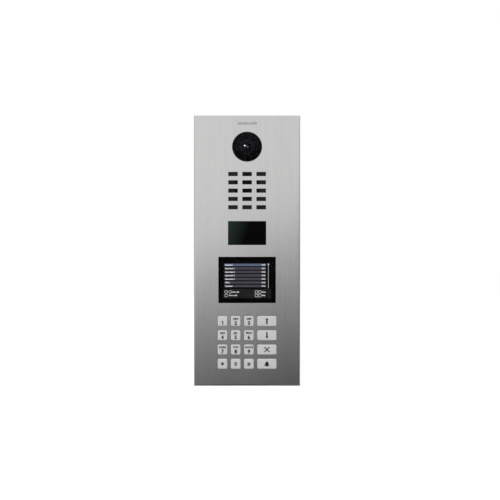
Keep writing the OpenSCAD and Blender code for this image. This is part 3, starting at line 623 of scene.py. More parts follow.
def stand(name, mesh, material):
    """Puts mesh work into the scene as an object."""
    data = bpy.data.meshes.new(name)
    mesh.to_mesh(data)
    mesh.free()
    data.materials.append(material)
    made = bpy.data.objects.new(name, data)
    bpy.context.scene.collection.objects.link(made)
    return made


def modify(node, name, kind, **settings):
    made = node.modifiers.new(name, kind)
    for setting, value in settings.items():
        setattr(made, setting, value)


def break_edges(node, width):
    """Bevels the sharp corners, after joining what one flat face was split into."""
    modify(node, "weld", "WELD", merge_threshold=2e-6)
    modify(node, "flats", "DECIMATE", decimate_type="DISSOLVE", angle_limit=math.radians(0.3))
    corners = {"limit_method": "ANGLE", "angle_limit": math.radians(40), "face_strength_mode": "FSTR_ALL"}
    modify(node, "edges", "BEVEL", width=width, segments=2, use_clamp_overlap=False, **corners)
    modify(node, "normals", "WEIGHTED_NORMAL", keep_sharp=False, use_face_influence=True)


def dress(material, *nodes, edge=0.0):
    """Gives CAD nodes their finish and, with an edge, breaks their sharp corners."""
    for name in nodes:
        node = frame["nodes"][name]
        node.material_slots[0].material = material
        if edge > 0:
            break_edges(node, edge)


def centre_of(node):
    low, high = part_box(node)
    return (low + high) / 2


def front_of(node):
    return -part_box(node)[0].y


def rear_of(node):
    return -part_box(node)[1].y


# ---- Operators ----


class Maker(bpy.types.Operator):
    """What every maker of pieces shares."""

    bl_options = {"REGISTER", "UNDO"}

    @property
    def sizes(self):
        return bpy.context.scene.intercom_sizes

    @property
    def colours(self):
        return bpy.context.scene.intercom_colours


class INTERCOM_OT_studio(bpy.types.Operator):
    """Set up the floor, the white surround, the card, the lamps and the camera."""

    bl_idname = "intercom.studio"
    bl_label = "Studio"

    FLOOR_DROP = 0.42
    CARD_W, CARD_H, CARD_AWAY = 5.0, 4.0, 2.9
    CARD_SLOPE, CARD_PIVOT_X = -0.33, -0.15  # how its levels lean, and where they don't
    # The brightness of what polished pieces reflect, from straight down to straight up.
    SURROUND_LEVELS = ((0.0, 0.1), (0.3, 0.2), (0.5, 0.62), (0.62, 0.95), (1.0, 1.0))
    # The front card's brightness from its foot to its middle, above which it is white.
    CARD_LEVELS = (
        (0.0, 0.42), (0.2, 0.3), (0.31, 0.04), (0.34, 0.0), (0.375, 0.14), (0.4, 0.19), (0.4275, 0.33),
        (0.458, 0.48), (0.473, 0.56), (0.486, 0.64), (0.496, 0.96), (0.5, 1.0),
    )
    SOFTBOX = ("key_softbox", (-1.5, -1.9, 1.7), 0.9, 26.0)
    CATCH_LIGHT = ("catch_light", (-0.373, -2.4, 0.44), 0.11, 115.0)

    def execute(self, context):
        studio = context.scene.intercom_studio
        self.surround(context.scene, studio.daylight)
        self.floor()
        self.front_card()
        self.lamp(*self.SOFTBOX).visible_glossy = False
        self.catch_light(context.scene)
        self.camera(context.scene, studio)
        context.scene.view_settings.view_transform = "Standard"
        return {"FINISHED"}

    def surround(self, scene, daylight):
        """White to the camera, and graded from a dark ground to a bright sky for the rest."""
        world = bpy.data.worlds.new("surround")
        world.use_nodes = True
        work = NodeWork(world.node_tree)
        work.tree.nodes.remove(work.tree.nodes["Background"])
        height = work.axis(work.node("ShaderNodeTexCoord", output="Generated"), "Z")
        level = work.ramp(height * 0.5 + 0.5, *self.SURROUND_LEVELS)
        graded = work.node("ShaderNodeBackground", None, {"Color": level, "Strength": daylight})
        white = work.node("ShaderNodeBackground", None, {"Color": (1.0, 1.0, 1.0, 1.0)})
        seen = work.node("ShaderNodeLightPath", output="Is Camera Ray")
        choice = work.node("ShaderNodeMixShader", None, {0: seen, 1: graded, 2: white})
        work.fill(work.tree.nodes["World Output"].inputs["Surface"], choice)
        scene.world = world

    def floor(self):
        mesh = bmesh.new()
        bmesh.ops.create_grid(mesh, x_segments=1, y_segments=1, size=20.0)
        paint = Finish("floor_paint", (0.9, 0.9, 0.9), 0.8, emission_strength=0.2)
        paint.feed("Emission Color", (1.0, 1.0, 1.0, 1.0))
        floor = stand("floor", mesh, paint.material)
        floor.location.z = CAD_BOX[0][2] - self.FLOOR_DROP
        floor.visible_glossy = False

    def front_card(self):
        """A card behind the camera that the front reflects: bright above eye level, dark below it."""
        half_w, half_h = self.CARD_W / 2, self.CARD_H / 2
        mesh = bmesh.new()
        corners = ((-half_w, -half_h), (half_w, -half_h), (half_w, half_h), (-half_w, half_h))
        mesh.faces.new([mesh.verts.new((x, 0.0, z)) for x, z in corners])
        glow = Finish("card_glow", (0.0, 0.0, 0.0), 1.0, emission_strength=1.0, specular_ior_level=0.0)
        point = glow.place()
        aside = glow.axis(point, "X")
        leaning = glow.axis(point, "Z") + (aside - self.CARD_PIVOT_X) * self.CARD_SLOPE
        up = leaning * (1 / self.CARD_H) + 0.5
        right = glow.ramp(aside + 0.5, (0.35, 1.0), (0.7, 0.9))
        glow.feed("Emission Color", glow.ramp(up, *self.CARD_LEVELS) * right)
        card = stand("front_card", mesh, glow.material)
        card.location.y = -self.CARD_AWAY
        card.visible_camera = card.visible_diffuse = card.visible_shadow = False

    def lamp(self, name, place, size, power):
        """A round lamp that shines at the panel. The camera doesn't see it."""
        light = bpy.data.lights.new(name, "AREA")
        light.shape = "DISK"
        light.size = size
        light.energy = power
        made = bpy.data.objects.new(name, light)
        made.location = place
        made.rotation_euler = (-Vector(place)).to_track_quat("-Z", "Y").to_euler()
        made.visible_camera = False
        bpy.context.scene.collection.objects.link(made)
        return made

    def catch_light(self, scene):
        """A small lamp that only the camera dome reflects."""
        catch = self.lamp(*self.CATCH_LIGHT)
        catch.visible_diffuse = False
        domes = bpy.data.collections.new("glossy_domes")
        domes.objects.link(frame["nodes"]["camera_dome"])
        scene.collection.children.link(domes)
        catch.light_linking.receiver_collection = domes

    def camera(self, scene, studio):
        data = bpy.data.cameras.new("camera")
        data.lens = studio.lens
        data.sensor_width = 36.0
        data.clip_end = 100.0
        made = bpy.data.objects.new("camera", data)
        away = studio.view_w * data.lens / data.sensor_width
        made.location = (studio.aside, -front_of("front_panel") - away, studio.above)
        made.rotation_euler = (math.pi / 2, 0.0, 0.0)
        scene.collection.objects.link(made)
        scene.camera = made


class INTERCOM_OT_front(Maker):
    """Finish the stainless front and etch its word."""

    bl_idname = "intercom.front"
    bl_label = "Stainless front"

    WORD_RISE = 0.44  # the word's place from the dome's top to the panel's top edge
    ETCH_REAR, ETCH_FRONT = -0.02 * MM, 0.01 * MM

    def execute(self, context):
        dress(brushed_stainless(self.colours.steel), "front_panel", edge=self.sizes.edge_r)
        dome_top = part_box("camera_dome")[1].z
        z = dome_top + self.WORD_RISE * (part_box("front_panel")[1].z - dome_top)
        face_f = front_of("front_panel")
        levels = (face_f + self.ETCH_REAR, face_f + self.ETCH_FRONT)
        mesh = bmesh.new()
        lettering(mesh, "INTERCOM", 0.0, z, self.sizes.word_h, *levels, spread=1.08)
        piece("etched_word", mesh, etched_steel())
        return {"FINISHED"}


class INTERCOM_OT_camera(Maker):
    """Finish the camera under its smoked dome."""

    bl_idname = "intercom.camera"
    bl_label = "Camera"

    HOOD_RING, BARREL_RING = (8.3 * MM, 9.3 * MM), (5.2 * MM, 6.3 * MM)
    RING_H, RING_ROOT = 0.25 * MM, 0.1 * MM
    ELEMENT_R = 2.1 * MM
    ELEMENT_STEPS = ((1.0, -0.3), (1.0, 0.0), (4 / 7, 0.1), (0.0, 0.13))  # share of its radius, mm forward

    def execute(self, context):
        dress(clear_gloss("smoked_polycarbonate", (0.003, 0.0035, 0.004), 0.5, 0.08, 0.02), "camera_dome")
        black = rubber("black_rubber", (0.012, 0.012, 0.013), 0.75)
        dress(black, "lens_hood", "microphone_boot", "conduit_grommets")
        dress(dark_metal("black_anodised", (0.012, 0.012, 0.014), 0.4), "lens_barrel")
        dress(coated_lens(), "front_lens")
        self.lens_rings()
        self.lens_element()
        dress(lamp_epoxy(), "infrared_leds")
        return {"FINISHED"}

    def lens_rings(self):
        """The half-round screwed rings in front of the hood and of the barrel, coloured light blue-grey as a
        painted highlight of those edges.
        """
        middle = centre_of("front_lens")
        mesh = bmesh.new()
        for (inner, outer), seat in ((self.HOOD_RING, "lens_hood"), (self.BARREL_RING, "lens_barrel")):
            level = front_of(seat)
            turns = [math.pi * i / 8 for i in range(9)]
            mean, half = (inner + outer) / 2, (outer - inner) / 2
            profile = [(mean - half * math.cos(t), level + self.RING_H * math.sin(t)) for t in turns]
            profile += [(outer, level - self.RING_ROOT), (inner, level - self.RING_ROOT)]
            turned(mesh, middle.x, middle.z, profile, 72, closed=False)
        piece("lens_rings", mesh, lens_ring_painted_sheen())

    def lens_element(self):
        """The element that shows deep in the lens, pale in its middle as a painted highlight."""
        middle = centre_of("front_lens")
        lens_f = front_of("front_lens")
        profile = [(share * self.ELEMENT_R, lens_f + step * MM) for share, step in self.ELEMENT_STEPS]
        mesh = bmesh.new()
        turned(mesh, middle.x, middle.z, profile, 40)
        piece("lens_element", mesh, painted_highlight_element(spot(middle.x, middle.z, lens_f)))


class INTERCOM_OT_speaker(Maker):
    """Weave the speaker mesh and finish the speaker behind it."""

    bl_idname = "intercom.speaker"
    bl_label = "Speaker"

    HEM_W = 2 * MM
    HEM_R = 3.2 * MM

    def execute(self, context):
        woven = dark_metal("dark_mesh", (0.0025, 0.0025, 0.0028), 0.6, 0.0)
        self.weave(woven)
        self.hem(woven)
        dress(dark_metal("black_steel", (0.03, 0.03, 0.032), 0.45), "speaker_basket", "speaker_magnet")
        dress(pressed_paper(), "speaker_cone")
        return {"FINISHED"}

    def weave(self, material):
        """Wires that pass over and under each other."""
        low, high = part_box("speaker_mesh")
        middle = (low + high) / 2
        wire_r, pitch = self.sizes.wire_r, self.sizes.wire_pitch
        swing = 0.85 * wire_r
        mesh = bmesh.new()
        for across, along in ((0, 2), (2, 0)):
            count = int((high[across] - low[across] - self.HEM_W) / pitch)
            steps = int((high[along] - low[along] - self.HEM_W) / pitch) * 2
            for i in range(count):
                rings = []
                for k in range(steps + 1):
                    lift = swing * math.cos(math.pi * (k / 2 + i + (along == 0)))
                    ring = []
                    for turn in (math.pi / 4, math.pi * 3 / 4, math.pi * 5 / 4, math.pi * 7 / 4):
                        point = middle.copy()
                        point[across] += (i - (count - 1) / 2) * pitch + wire_r * math.cos(turn)
                        point[along] += (k - steps / 2) * pitch / 2
                        point.y -= lift + wire_r * math.sin(turn)
                        ring.append(point)
                    rings.append(ring)
                loft(mesh, rings)
        piece("speaker_mesh_wires", mesh, material, replaces=["speaker_mesh"])

    def hem(self, material):
        """The pressed frame that holds the wires' ends."""
        low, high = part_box("speaker_mesh")
        middle, size = (low + high) / 2, high - low
        levels = (rear_of("speaker_mesh"), front_of("speaker_mesh"))
        mesh = bmesh.new()
        open_frame(mesh, middle.x, middle.z, size.x, size.z, self.HEM_R, self.HEM_W, *levels)
        piece("speaker_mesh_hem", mesh, material)


class INTERCOM_OT_windows(Maker):
    """Finish the sensor window and the display's glass."""

    bl_idname = "intercom.windows"
    bl_label = "Windows"

    def execute(self, context):
        dress(black_acrylic(*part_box("sensor_window")), "sensor_window")
        dress(clear_gloss("toughened_glass", (0.002, 0.002, 0.0025), 0.15, 0.03), "display_glass")
        return {"FINISHED"}


class INTERCOM_OT_screen(Maker):
    """Draw the directory list that the lit display shows."""

    bl_idname = "intercom.screen"
    bl_label = "Screen picture"

    # Places are in millimetres from the middle of the glass.
    LAYER_T = 0.01 * MM
    ROW_X, ROW_W, ROW_H = -2.75, 55.8, 3.3
    FIRST_ROW_Z, ROW_PITCH = 20.1, 4.71
    NAME_X, NUMBER_X = -29.3, 24.4
    TEXT_H, TEXT_BOLD = 1.8 * MM, 0.06 * MM
    BAR_X, BAR_Z, BAR_W, BAR_H = 28.4, 5.5, 0.5, 33.0
    KNOB_Z, KNOB_R = 20.8, 1.1
    HINTS = (
        ("Call a flat", -20.0, -16.1),
        ("Door code", -24.4, -20.5),
        ("Next", 19.6, -16.1),
        ("Help", 19.6, -20.5),
    )
    ROUND_ICONS = ((-28.0, -16.1), (-22.6, -16.1), (-28.0, -20.9))
    SQUARE_ICONS = ((12.5, -16.1), (12.5, -20.9), (17.0, -16.1), (17.0, -20.9))
    ICON_LINE = 0.45
    FOOTER_Z, FOOTER_W, FOOTER_H = -18.3, 64.0, 12.5

    def execute(self, context):
        self.middle = centre_of("display_glass")
        dress(clear_gloss("screen_black", (0.002, 0.002, 0.0022), 1.0, 0.04, 0.2), "lcd_panel")
        self.rows()
        self.text()
        self.scroll_bar()
        self.footer()
        return {"FINISHED"}

    def at(self, x, z):
        return self.middle.x + x * MM, self.middle.z + z * MM

    def levels(self, *layers):
        """How far forward each layer of the picture lies."""
        return [front_of("lcd_panel") + layer * self.LAYER_T for layer in layers]

    def show(self, name, mesh, base, strength):
        piece(name, mesh, lit(name, base, strength))

    def row_z(self, i):
        return self.FIRST_ROW_Z - i * self.ROW_PITCH

    def rows(self):
        chosen = lit("screen_chosen_row", self.colours.chosen_row, 1.1)
        plain = lit("screen_row", self.colours.row, 1.2)
        for i in range(len(DIRECTORY)):
            mesh = bmesh.new()
            middle = self.at(self.ROW_X, self.row_z(i))
            slab(mesh, *middle, self.ROW_W * MM, self.ROW_H * MM, *self.levels(2, 4))
            piece(f"screen_row_{i + 1}", mesh, plain if i else chosen)

    def text(self):
        mesh = bmesh.new()
        for i, name in enumerate(DIRECTORY):
            self.write(mesh, name, self.NAME_X, self.row_z(i), "LEFT")
            self.write(mesh, f"01{i:02d}", self.NUMBER_X, self.row_z(i), "RIGHT")
        for hint in self.HINTS:
            self.write(mesh, *hint, "LEFT")
        self.show("screen_text", mesh, self.colours.screen_text, 1.4)

    def write(self, mesh, text, x, z, align):
        lettering(mesh, text, *self.at(x, z), self.TEXT_H, *self.levels(5, 7), align, bold=self.TEXT_BOLD)

    def scroll_bar(self):
        mesh = bmesh.new()
        rear_f, bar_f, knob_f = self.levels(2, 4, 5)
        slab(mesh, *self.at(self.BAR_X, self.BAR_Z), self.BAR_W * MM, self.BAR_H * MM, rear_f, bar_f)
        knob_r = self.KNOB_R * MM
        turned(mesh, *self.at(self.BAR_X, self.KNOB_Z), [(knob_r, rear_f), (knob_r, knob_f)], 20)
        self.show("screen_scroll_bar", mesh, (0.55, 0.55, 0.57), 1.3)

    def footer(self):
        mesh = bmesh.new()
        for places, size, r in ((self.ROUND_ICONS, 4.2, 2.1), (self.SQUARE_ICONS, 4.0, 1.1)):
            for place in places:
                shape = (size * MM, size * MM, r * MM, self.ICON_LINE * MM)
                open_frame(mesh, *self.at(*place), *shape, *self.levels(2, 5))
        self.show("screen_icons", mesh, (0.8, 0.79, 0.76), 1.2)
        mesh = bmesh.new()
        slab(mesh, *self.at(0.0, self.FOOTER_Z), self.FOOTER_W * MM, self.FOOTER_H * MM, *self.levels(1, 3))
        self.show("screen_footer", mesh, (0.012, 0.011, 0.009), 1.0)


class INTERCOM_OT_keys(Maker):
    """Cast the keys and paint their legends."""

    bl_idname = "intercom.keys"
    bl_label = "Keys"

    LIP, LIP_T, LIP_EDGE = 0.9 * MM, 1.5 * MM, 0.2 * MM
    CORNER_R = 1.8 * MM
    CROWN_RINGS = (0.85, 0.6, 0.3)
    DOT_R, DOT_ASIDE = 0.6 * MM, 1.5 * MM
    PAINT_ROOT = 0.02 * MM
    DIGIT_DROP, LETTERS_RISE = 2.5 * MM, 3.1 * MM
    DIGIT_BOLD, SYMBOL_BOLD, LETTER_BOLD = 0.32 * MM, 0.24 * MM, 0.21 * MM
    ONE = ((-0.25, -2.6), (1.0, -2.6), (1.0, 2.6), (0.1, 2.6), (-1.3, 1.7), (-1.3, 0.5), (-0.25, 1.1))

    def execute(self, context):
        metal = satin_key_metal(self.colours.keys)
        paint = legend_paint(self.colours.legend)
        self.face_f = front_of("key_1")
        for body in sorted(set(frame["bodies"]) - {PANEL}):
            low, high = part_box(body)
            self.middle = (low + high) / 2
            self.w = high.x - low.x - 2 * self.LIP
            self.h = high.z - low.z - 2 * self.LIP
            self.cap(body, -high.y, metal)
            self.legend(body, paint)
        return {"FINISHED"}

    def crown(self, x, z):
        """How far the face stands up at a point, from nothing at the rim to the crown in the middle."""
        across = min(1.0, abs(x - self.middle.x) / (self.w / 2))
        up = min(1.0, abs(z - self.middle.z) / (self.h / 2))
        return self.sizes.key_crown * (1 - across**2) * (1 - up**2)

    def cap(self, name, rear_f, material):
        """A lipped key with a rounded front rim and a crowned face."""
        edge = self.sizes.key_edge_r
        rim_f = self.face_f - self.sizes.key_crown
        lip_f = rear_f + self.LIP_T
        levels = [(self.LIP_EDGE - self.LIP, rear_f), (-self.LIP, rear_f + self.LIP_EDGE)]
        levels += [(-self.LIP, lip_f - self.LIP_EDGE), (self.LIP_EDGE - self.LIP, lip_f)]
        levels += [(0.0, lip_f), (0.0, (lip_f + rim_f - edge) / 2)]
        for turn in quarter_turn(6):
            levels.append((edge * (1 - math.cos(turn)), rim_f - edge * (1 - math.sin(turn))))
        rings = []
        for inset, level in levels:
            corner = max(self.CORNER_R - inset, self.LIP_EDGE)
            outline = rounded_outline(self.w - 2 * inset, self.h - 2 * inset, corner)
            rings.append([spot(self.middle.x + x, self.middle.z + z, level) for x, z in outline])
        face = rounded_outline(self.w - 2 * edge, self.h - 2 * edge, self.CORNER_R - edge)
        for share in self.CROWN_RINGS:
            outline = [(self.middle.x + x * share, self.middle.z + z * share) for x, z in face]
            rings.append([spot(x, z, rim_f + self.crown(x, z)) for x, z in outline])
        mesh = bmesh.new()
        loft(mesh, rings)
        if name == "key_5":
            self.dot(mesh, rim_f)
        piece(f"{name}_cap", mesh, material, name, [name], 50.0)

    def dot(self, mesh, rim_f):
        """The raised dot by which a finger finds the middle of the keypad."""
        profile = [(self.DOT_R, self.face_f - self.DOT_R / 2)]
        for turn in quarter_turn(5):
            profile.append((self.DOT_R * math.cos(turn), rim_f + 0.9 * self.DOT_R * math.sin(turn)))
        turned(mesh, self.middle.x + self.w / 2 - self.DOT_ASIDE, self.middle.z, profile, 20)

    def legend(self, name, paint):
        mesh = bmesh.new()
        mark = name.removeprefix("key_")
        if mark in KEY_LETTERS:
            self.digit(mesh, mark)
            self.letters(mesh, KEY_LETTERS[mark])
        else:
            self.symbol(mesh, mark)
        piece(f"{name}_legend", mesh, paint, name)

    @property
    def paint_levels(self):
        rim_f = self.face_f - self.sizes.key_crown
        return rim_f - self.PAINT_ROOT, rim_f + self.sizes.paint_t

    def write(self, mesh, text, x, z, height, bold, spread=1.0):
        lettering(mesh, text, x, z, height, *self.paint_levels, spread=spread, bold=bold, skin=self.crown)

    def drawn(self, mesh, outlines, x=0.0, z=0.0):
        """Paints outlines given in millimetres from a point that many metres from the key's middle."""
        first = len(mesh.verts)
        for outline in outlines:
            points = [(self.middle.x + x + px * MM, self.middle.z + z + pz * MM) for px, pz in outline]
            prism(mesh, points, *self.paint_levels)
        mesh.verts.ensure_lookup_table()
        for vertex in mesh.verts[first:]:
            vertex.co.y -= self.crown(vertex.co.x, vertex.co.z)

    def digit(self, mesh, digit):
        if digit == "1":
            self.drawn(mesh, [self.ONE], z=-self.DIGIT_DROP)
        else:
            z = self.middle.z - self.DIGIT_DROP
            self.write(mesh, digit, self.middle.x, z, self.sizes.digit_h, self.DIGIT_BOLD)

    def letters(self, mesh, text):
        """The small letters above a digit. The font's M doesn't thicken cleanly, so that one is drawn."""
        height = self.sizes.letter_h
        x = self.middle.x
        if text.startswith("M"):
            self.drawn(mesh, [self.letter_m(height / MM)], -0.98 * height, self.LETTERS_RISE)
            text = text[1:]
            x += 0.56 * height
        if text:
            self.write(mesh, text, x, self.middle.z + self.LETTERS_RISE, height, self.LETTER_BOLD, 1.08)

    def letter_m(self, height):
        half_w, half_h = 0.52 * height, height / 2 + 0.21
        stem, valley = 0.27 * height, -0.3 * height
        shoulder = half_h - 2.2 * stem
        top = [(half_w, half_h), (half_w - 1.2 * stem, half_h)]
        outline = [(half_w - stem, -half_h), (half_w, -half_h), *top, (0.0, valley + 1.7 * stem)]
        outline += [(-x, z) for x, z in reversed(top)] + [(-half_w, -half_h), (stem - half_w, -half_h)]
        return outline + [(stem - half_w, shoulder), (0.0, valley), (half_w - stem, shoulder)]

    def symbol(self, mesh, mark):
        text = {"0": "0", "hash": "#"}.get(mark)
        if text:
            self.write(mesh, text, self.middle.x, self.middle.z, self.sizes.digit_h, self.SYMBOL_BOLD)
            return
        outlines = {
            "up": [self.arrow(1)],
            "down": [self.arrow(-1)],
            "cancel": [self.stroke(1), self.stroke(-1)],
            "bell": self.bell(),
            "star": [self.star()],
        }
        self.drawn(mesh, outlines[mark])

    def arrow(self, way):
        half_shaft, half_head, neck, tip = 0.95, 2.0, 1.6, 4.2
        outline = [(-half_shaft, -tip), (half_shaft, -tip), (half_shaft, neck), (half_head, neck)]
        outline += [(0.0, tip), (-half_head, neck), (-half_shaft, neck)]
        return [(x, way * z) for x, z in outline]

    def star(self):
        """Six arms of one width, with the notch between each two."""
        reach, half = 2.3, 0.52
        outline = []
        for arm in range(6):
            turn = math.radians(90 + 60 * arm)
            along, across = (math.cos(turn), math.sin(turn)), (-math.sin(turn), math.cos(turn))
            for side in (-half, half):
                outline.append((reach * along[0] + side * across[0], reach * along[1] + side * across[1]))
            notch = turn + math.pi / 6
            outline.append((2 * half * math.cos(notch), 2 * half * math.sin(notch)))
        return outline

    def stroke(self, way):
        """One stroke of the cross, rising to the right or falling."""
        arm, half = 3.4, 0.65
        outer, inner = arm + half * 0.7, arm - half * 0.7
        corners = [(-outer, -inner), (-inner, -outer), (outer, inner), (inner, outer)]
        return [(x, way * z) for x, z in corners]

    def bell(self):
        """A hand bell: a flared body with a knob on top and a clapper below its rim."""
        side = [(1.1, 2.5), (1.8, 1.9), (2.15, 0.9), (2.3, -0.6), (2.8, -1.7), (3.6, -2.2)]
        body = side + [(3.6, -2.8), (-3.6, -2.8)] + [(-x, z) for x, z in reversed(side)]
        return [body, arc(0.0, 3.0, 0.55, 0, 330), arc(0.0, -3.1, 1.0, 180, 360)]


class INTERCOM_OT_keypad(Maker):
    """Finish the moulded frames, the silicone mat and the seals."""

    bl_idname = "intercom.keypad"
    bl_label = "Frames, mat and seals"

    def execute(self, context):
        plastic = moulded_plastic("black_plastic", (0.02, 0.02, 0.021), 0.55)
        dress(plastic, "camera_housing", "speaker_carrier", "window_frame", "display_frame", "keypad_frame")
        dress(rubber("grey_silicone", (0.12, 0.12, 0.125), 0.6), "keypad_mat")
        dress(closed_cell_foam(), "foam_seals", "rim_gasket")
        return {"FINISHED"}


class INTERCOM_OT_electronics(Maker):
    """Finish the circuit boards, connectors and flat cables."""

    bl_idname = "intercom.electronics"
    bl_label = "Electronics"

    def execute(self, context):
        black_board = circuit_board((0.004, 0.004, 0.0045), "black_circuit_board")
        dress(black_board, "image_sensor_board", "infrared_led_board")
        green_board = circuit_board(self.colours.board)
        dress(green_board, "reader_board", "display_board", "keypad_board", "main_board")
        dress(plated_hardware(), "network_jack", "processor_shield", "motion_sensor")
        dress(bpy.data.materials["black_steel"], "microphone")
        dress(moulded_plastic("terminal_green", (0.02, 0.17, 0.07), 0.45), "terminal_blocks")
        dress(ribbon_jacket(), "ribbon_cables")
        return {"FINISHED"}


class INTERCOM_OT_components(Maker):
    """Solder small components to the boards wherever there is room."""

    bl_idname = "intercom.components"
    bl_label = "Board components"

    FRONT, REAR = 1, -1
    FACES = (
        ("main_board", FRONT),
        ("main_board", REAR),
        ("display_board", REAR),
        ("reader_board", REAR),
        ("keypad_board", REAR),
        ("image_sensor_board", REAR),
    )
    # Each kind's long side, short side and height in millimetres, and how many are wanted on a face.
    KINDS = (
        ("chip", 9.0, 9.0, 1.2, 1),
        ("chip", 6.0, 5.0, 1.1, 3),
        ("can", 4.4, 4.4, 4.2, 3),
        ("coil", 5.0, 5.0, 2.4, 2),
        ("chip", 3.2, 3.0, 1.0, 4),
        ("pill", 3.4, 1.7, 1.1, 8),
        ("pill", 2.0, 1.3, 0.7, 24),
    )
    TRIES = 9  # for each one wanted
    LENGTHWAYS = 0.6  # the share that is tried with its long side across the board
    FIRST_SEED = 11
    GRID = 0.5 * MM
    APART = 1.1 * MM
    CLEAR = 0.5 * MM
    SKIN = 0.05 * MM  # how far above the board the search for room starts
    DEPTH = 0.3 * MM  # how far under the board's face its own solid is looked for
    LEG, LEG_PITCH, LEG_T = 0.7 * MM, 0.65 * MM, 0.12 * MM

    def execute(self, context):
        self.trees, self.boxes = {}, {}
        for name, node in frame["nodes"].items():
            points = [vertex.co.copy() for vertex in node.data.vertices]
            self.trees[name] = BVHTree.FromPolygons(points, [face.vertices[:] for face in node.data.polygons])
            self.boxes[name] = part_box(name)
        epoxy = moulded_plastic("chip_epoxy", (0.014, 0.014, 0.015), 0.6)
        tin = plated_hardware("solder_tin")
        for seed, (board, side) in enumerate(self.FACES, self.FIRST_SEED):
            bodies, metal = self.populate(board, side, random.Random(seed))
            name = f"{board}_{'front' if side == self.FRONT else 'rear'}"
            piece(f"{name}_parts", bodies, epoxy)
            piece(f"{name}_solder", metal, tin)
        return {"FINISHED"}

    def populate(self, board, side, pick):
        """Places what finds room on one face of a board, and returns the bodies and the metal."""
        low, high = self.boxes[board]
        face_y = low.y if side == self.FRONT else high.y
        placed = []
        bodies, metal = bmesh.new(), bmesh.new()
        for kind, long, short, t, wanted in self.KINDS:
            for _ in range(wanted * self.TRIES):
                if wanted == 0:
                    break
                w, h = (long, short) if pick.random() < self.LENGTHWAYS else (short, long)
                w, h = w * MM, h * MM
                x = self.on_grid(pick.uniform(low.x + w / 2, high.x - w / 2))
                z = self.on_grid(pick.uniform(low.z + h / 2, high.z - h / 2))
                if self.crowded(placed, x, z, w, h) or not self.room(board, side, face_y, x, z, w, h, t * MM):
                    continue
                placed.append((x, z, w, h))
                getattr(self, kind)(bodies, metal, x, z, w, h, t * MM)
                wanted -= 1
        for mesh in (bodies, metal):
            for vertex in mesh.verts:
                vertex.co.y = face_y + side * vertex.co.y
        return bodies, metal

    def on_grid(self, value):
        return round(value / self.GRID) * self.GRID

    def crowded(self, placed, x, z, w, h):
        """Whether a part would stand too near one that is already there."""
        for near_x, near_z, near_w, near_h in placed:
            reach_x, reach_z = (w + near_w) / 2 + self.APART, (h + near_h) / 2 + self.APART
            if abs(x - near_x) < reach_x and abs(z - near_z) < reach_z:
                return True
        return False

    def inside(self, name, point):
        """Whether a point is within a node's solid, by how many faces a ray from it passes."""
        passed, start, way = 0, point.copy(), Vector((0.31, 0.52, 0.79)).normalized()
        while True:
            hit = self.trees[name].ray_cast(start, way)[0]
            if hit is None:
                return passed % 2 == 1
            passed += 1
            start = hit + way * 1e-6

    def room(self, board, side, face_y, x, z, w, h, t):
        """Whether a part of that size fits on the board with nothing in its way."""
        reach_x, reach_z = w / 2 + self.CLEAR, h / 2 + self.CLEAR
        for sx in (-1, 1):
            for sz in (-1, 1):
                under = Vector((x + sx * reach_x, face_y + side * self.DEPTH, z + sz * reach_z))
                if not self.inside(board, under):
                    return False
        near, far = face_y - side * self.SKIN, face_y - side * (t + self.CLEAR)
        low = Vector((x - reach_x, min(near, far), z - reach_z))
        high = Vector((x + reach_x, max(near, far), z + reach_z))
        corners = [(px, py, pz) for px in (low.x, high.x) for py in (low.y, high.y) for pz in (low.z, high.z)]
        faces = [(0, 1, 3, 2), (4, 6, 7, 5), (0, 4, 5, 1), (2, 3, 7, 6), (0, 2, 6, 4), (1, 5, 7, 3)]
        block = BVHTree.FromPolygons(corners, faces)
        middle = (low + high) / 2
        for name, (node_low, node_high) in self.boxes.items():
            if any(node_low[i] > high[i] or node_high[i] < low[i] for i in range(3)):
                continue
            if block.overlap(self.trees[name]) or self.inside(name, middle):
                return False
        return True

    def chip(self, bodies, metal, x, z, w, h, t):
        """A moulded package with gull-wing legs along two sides."""
        body_w = w - 2 * self.LEG
        slab(bodies, x, z, body_w, h, self.LEG_T, t, edge=0.12 * MM)
        mark = [(0.3 * MM, t - 0.02 * MM), (0.26 * MM, t + 0.02 * MM)]
        turned(bodies, x - body_w / 2 + 0.7 * MM, z + h / 2 - 0.7 * MM, mark, 16)
        root, shoulder_f = body_w / 2, t * 0.45
        reach = [(root - 0.05 * MM, shoulder_f), (root + 0.2 * MM, shoulder_f)]
        reach += [(root + 0.38 * MM, self.LEG_T), (w / 2, self.LEG_T)]
        profile = reach + [(out, up - self.LEG_T) for out, up in reversed(reach)]
        count = max(3, int(h / self.LEG_PITCH) - 1)
        for i in range(count):
            leg_z = z + (i - (count - 1) / 2) * self.LEG_PITCH
            for way in (-1, 1):
                ends = (leg_z - 0.14 * MM, leg_z + 0.14 * MM)
                loft(metal, [[spot(x + way * out, end, up) for out, up in profile] for end in ends])

    def can(self, bodies, metal, x, z, w, h, t):
        """An aluminium capacitor on its square foot."""
        foot_t = 0.5 * MM
        slab(bodies, x, z, w, h, 0.0, foot_t, r=0.5 * MM, edge=0.1 * MM)
        r = w / 2 - 0.1 * MM
        profile = [(r, foot_t), (r, 0.9 * MM), (r - 0.18 * MM, 1.05 * MM), (r, 1.2 * MM), (r, t - 0.25 * MM)]
        turned(metal, x, z, profile + [(r - 0.08 * MM, t - 0.07 * MM), (r - 0.3 * MM, t)], 32)

    def coil(self, bodies, metal, x, z, w, h, t):
        """A shielded inductor: a block with a round pot in its middle."""
        slab(bodies, x, z, w, h, 0.0, t - 0.2 * MM, r=0.9 * MM, edge=0.15 * MM)
        turned(bodies, x, z, [(w * 0.36, t - 0.25 * MM), (w * 0.36, t - 0.08 * MM), (w * 0.33, t)], 32)
        for way in (-1, 1):
            slab(metal, x + way * (w / 2 - 0.1 * MM), z, 0.7 * MM, h * 0.4, 0.0, 0.25 * MM)

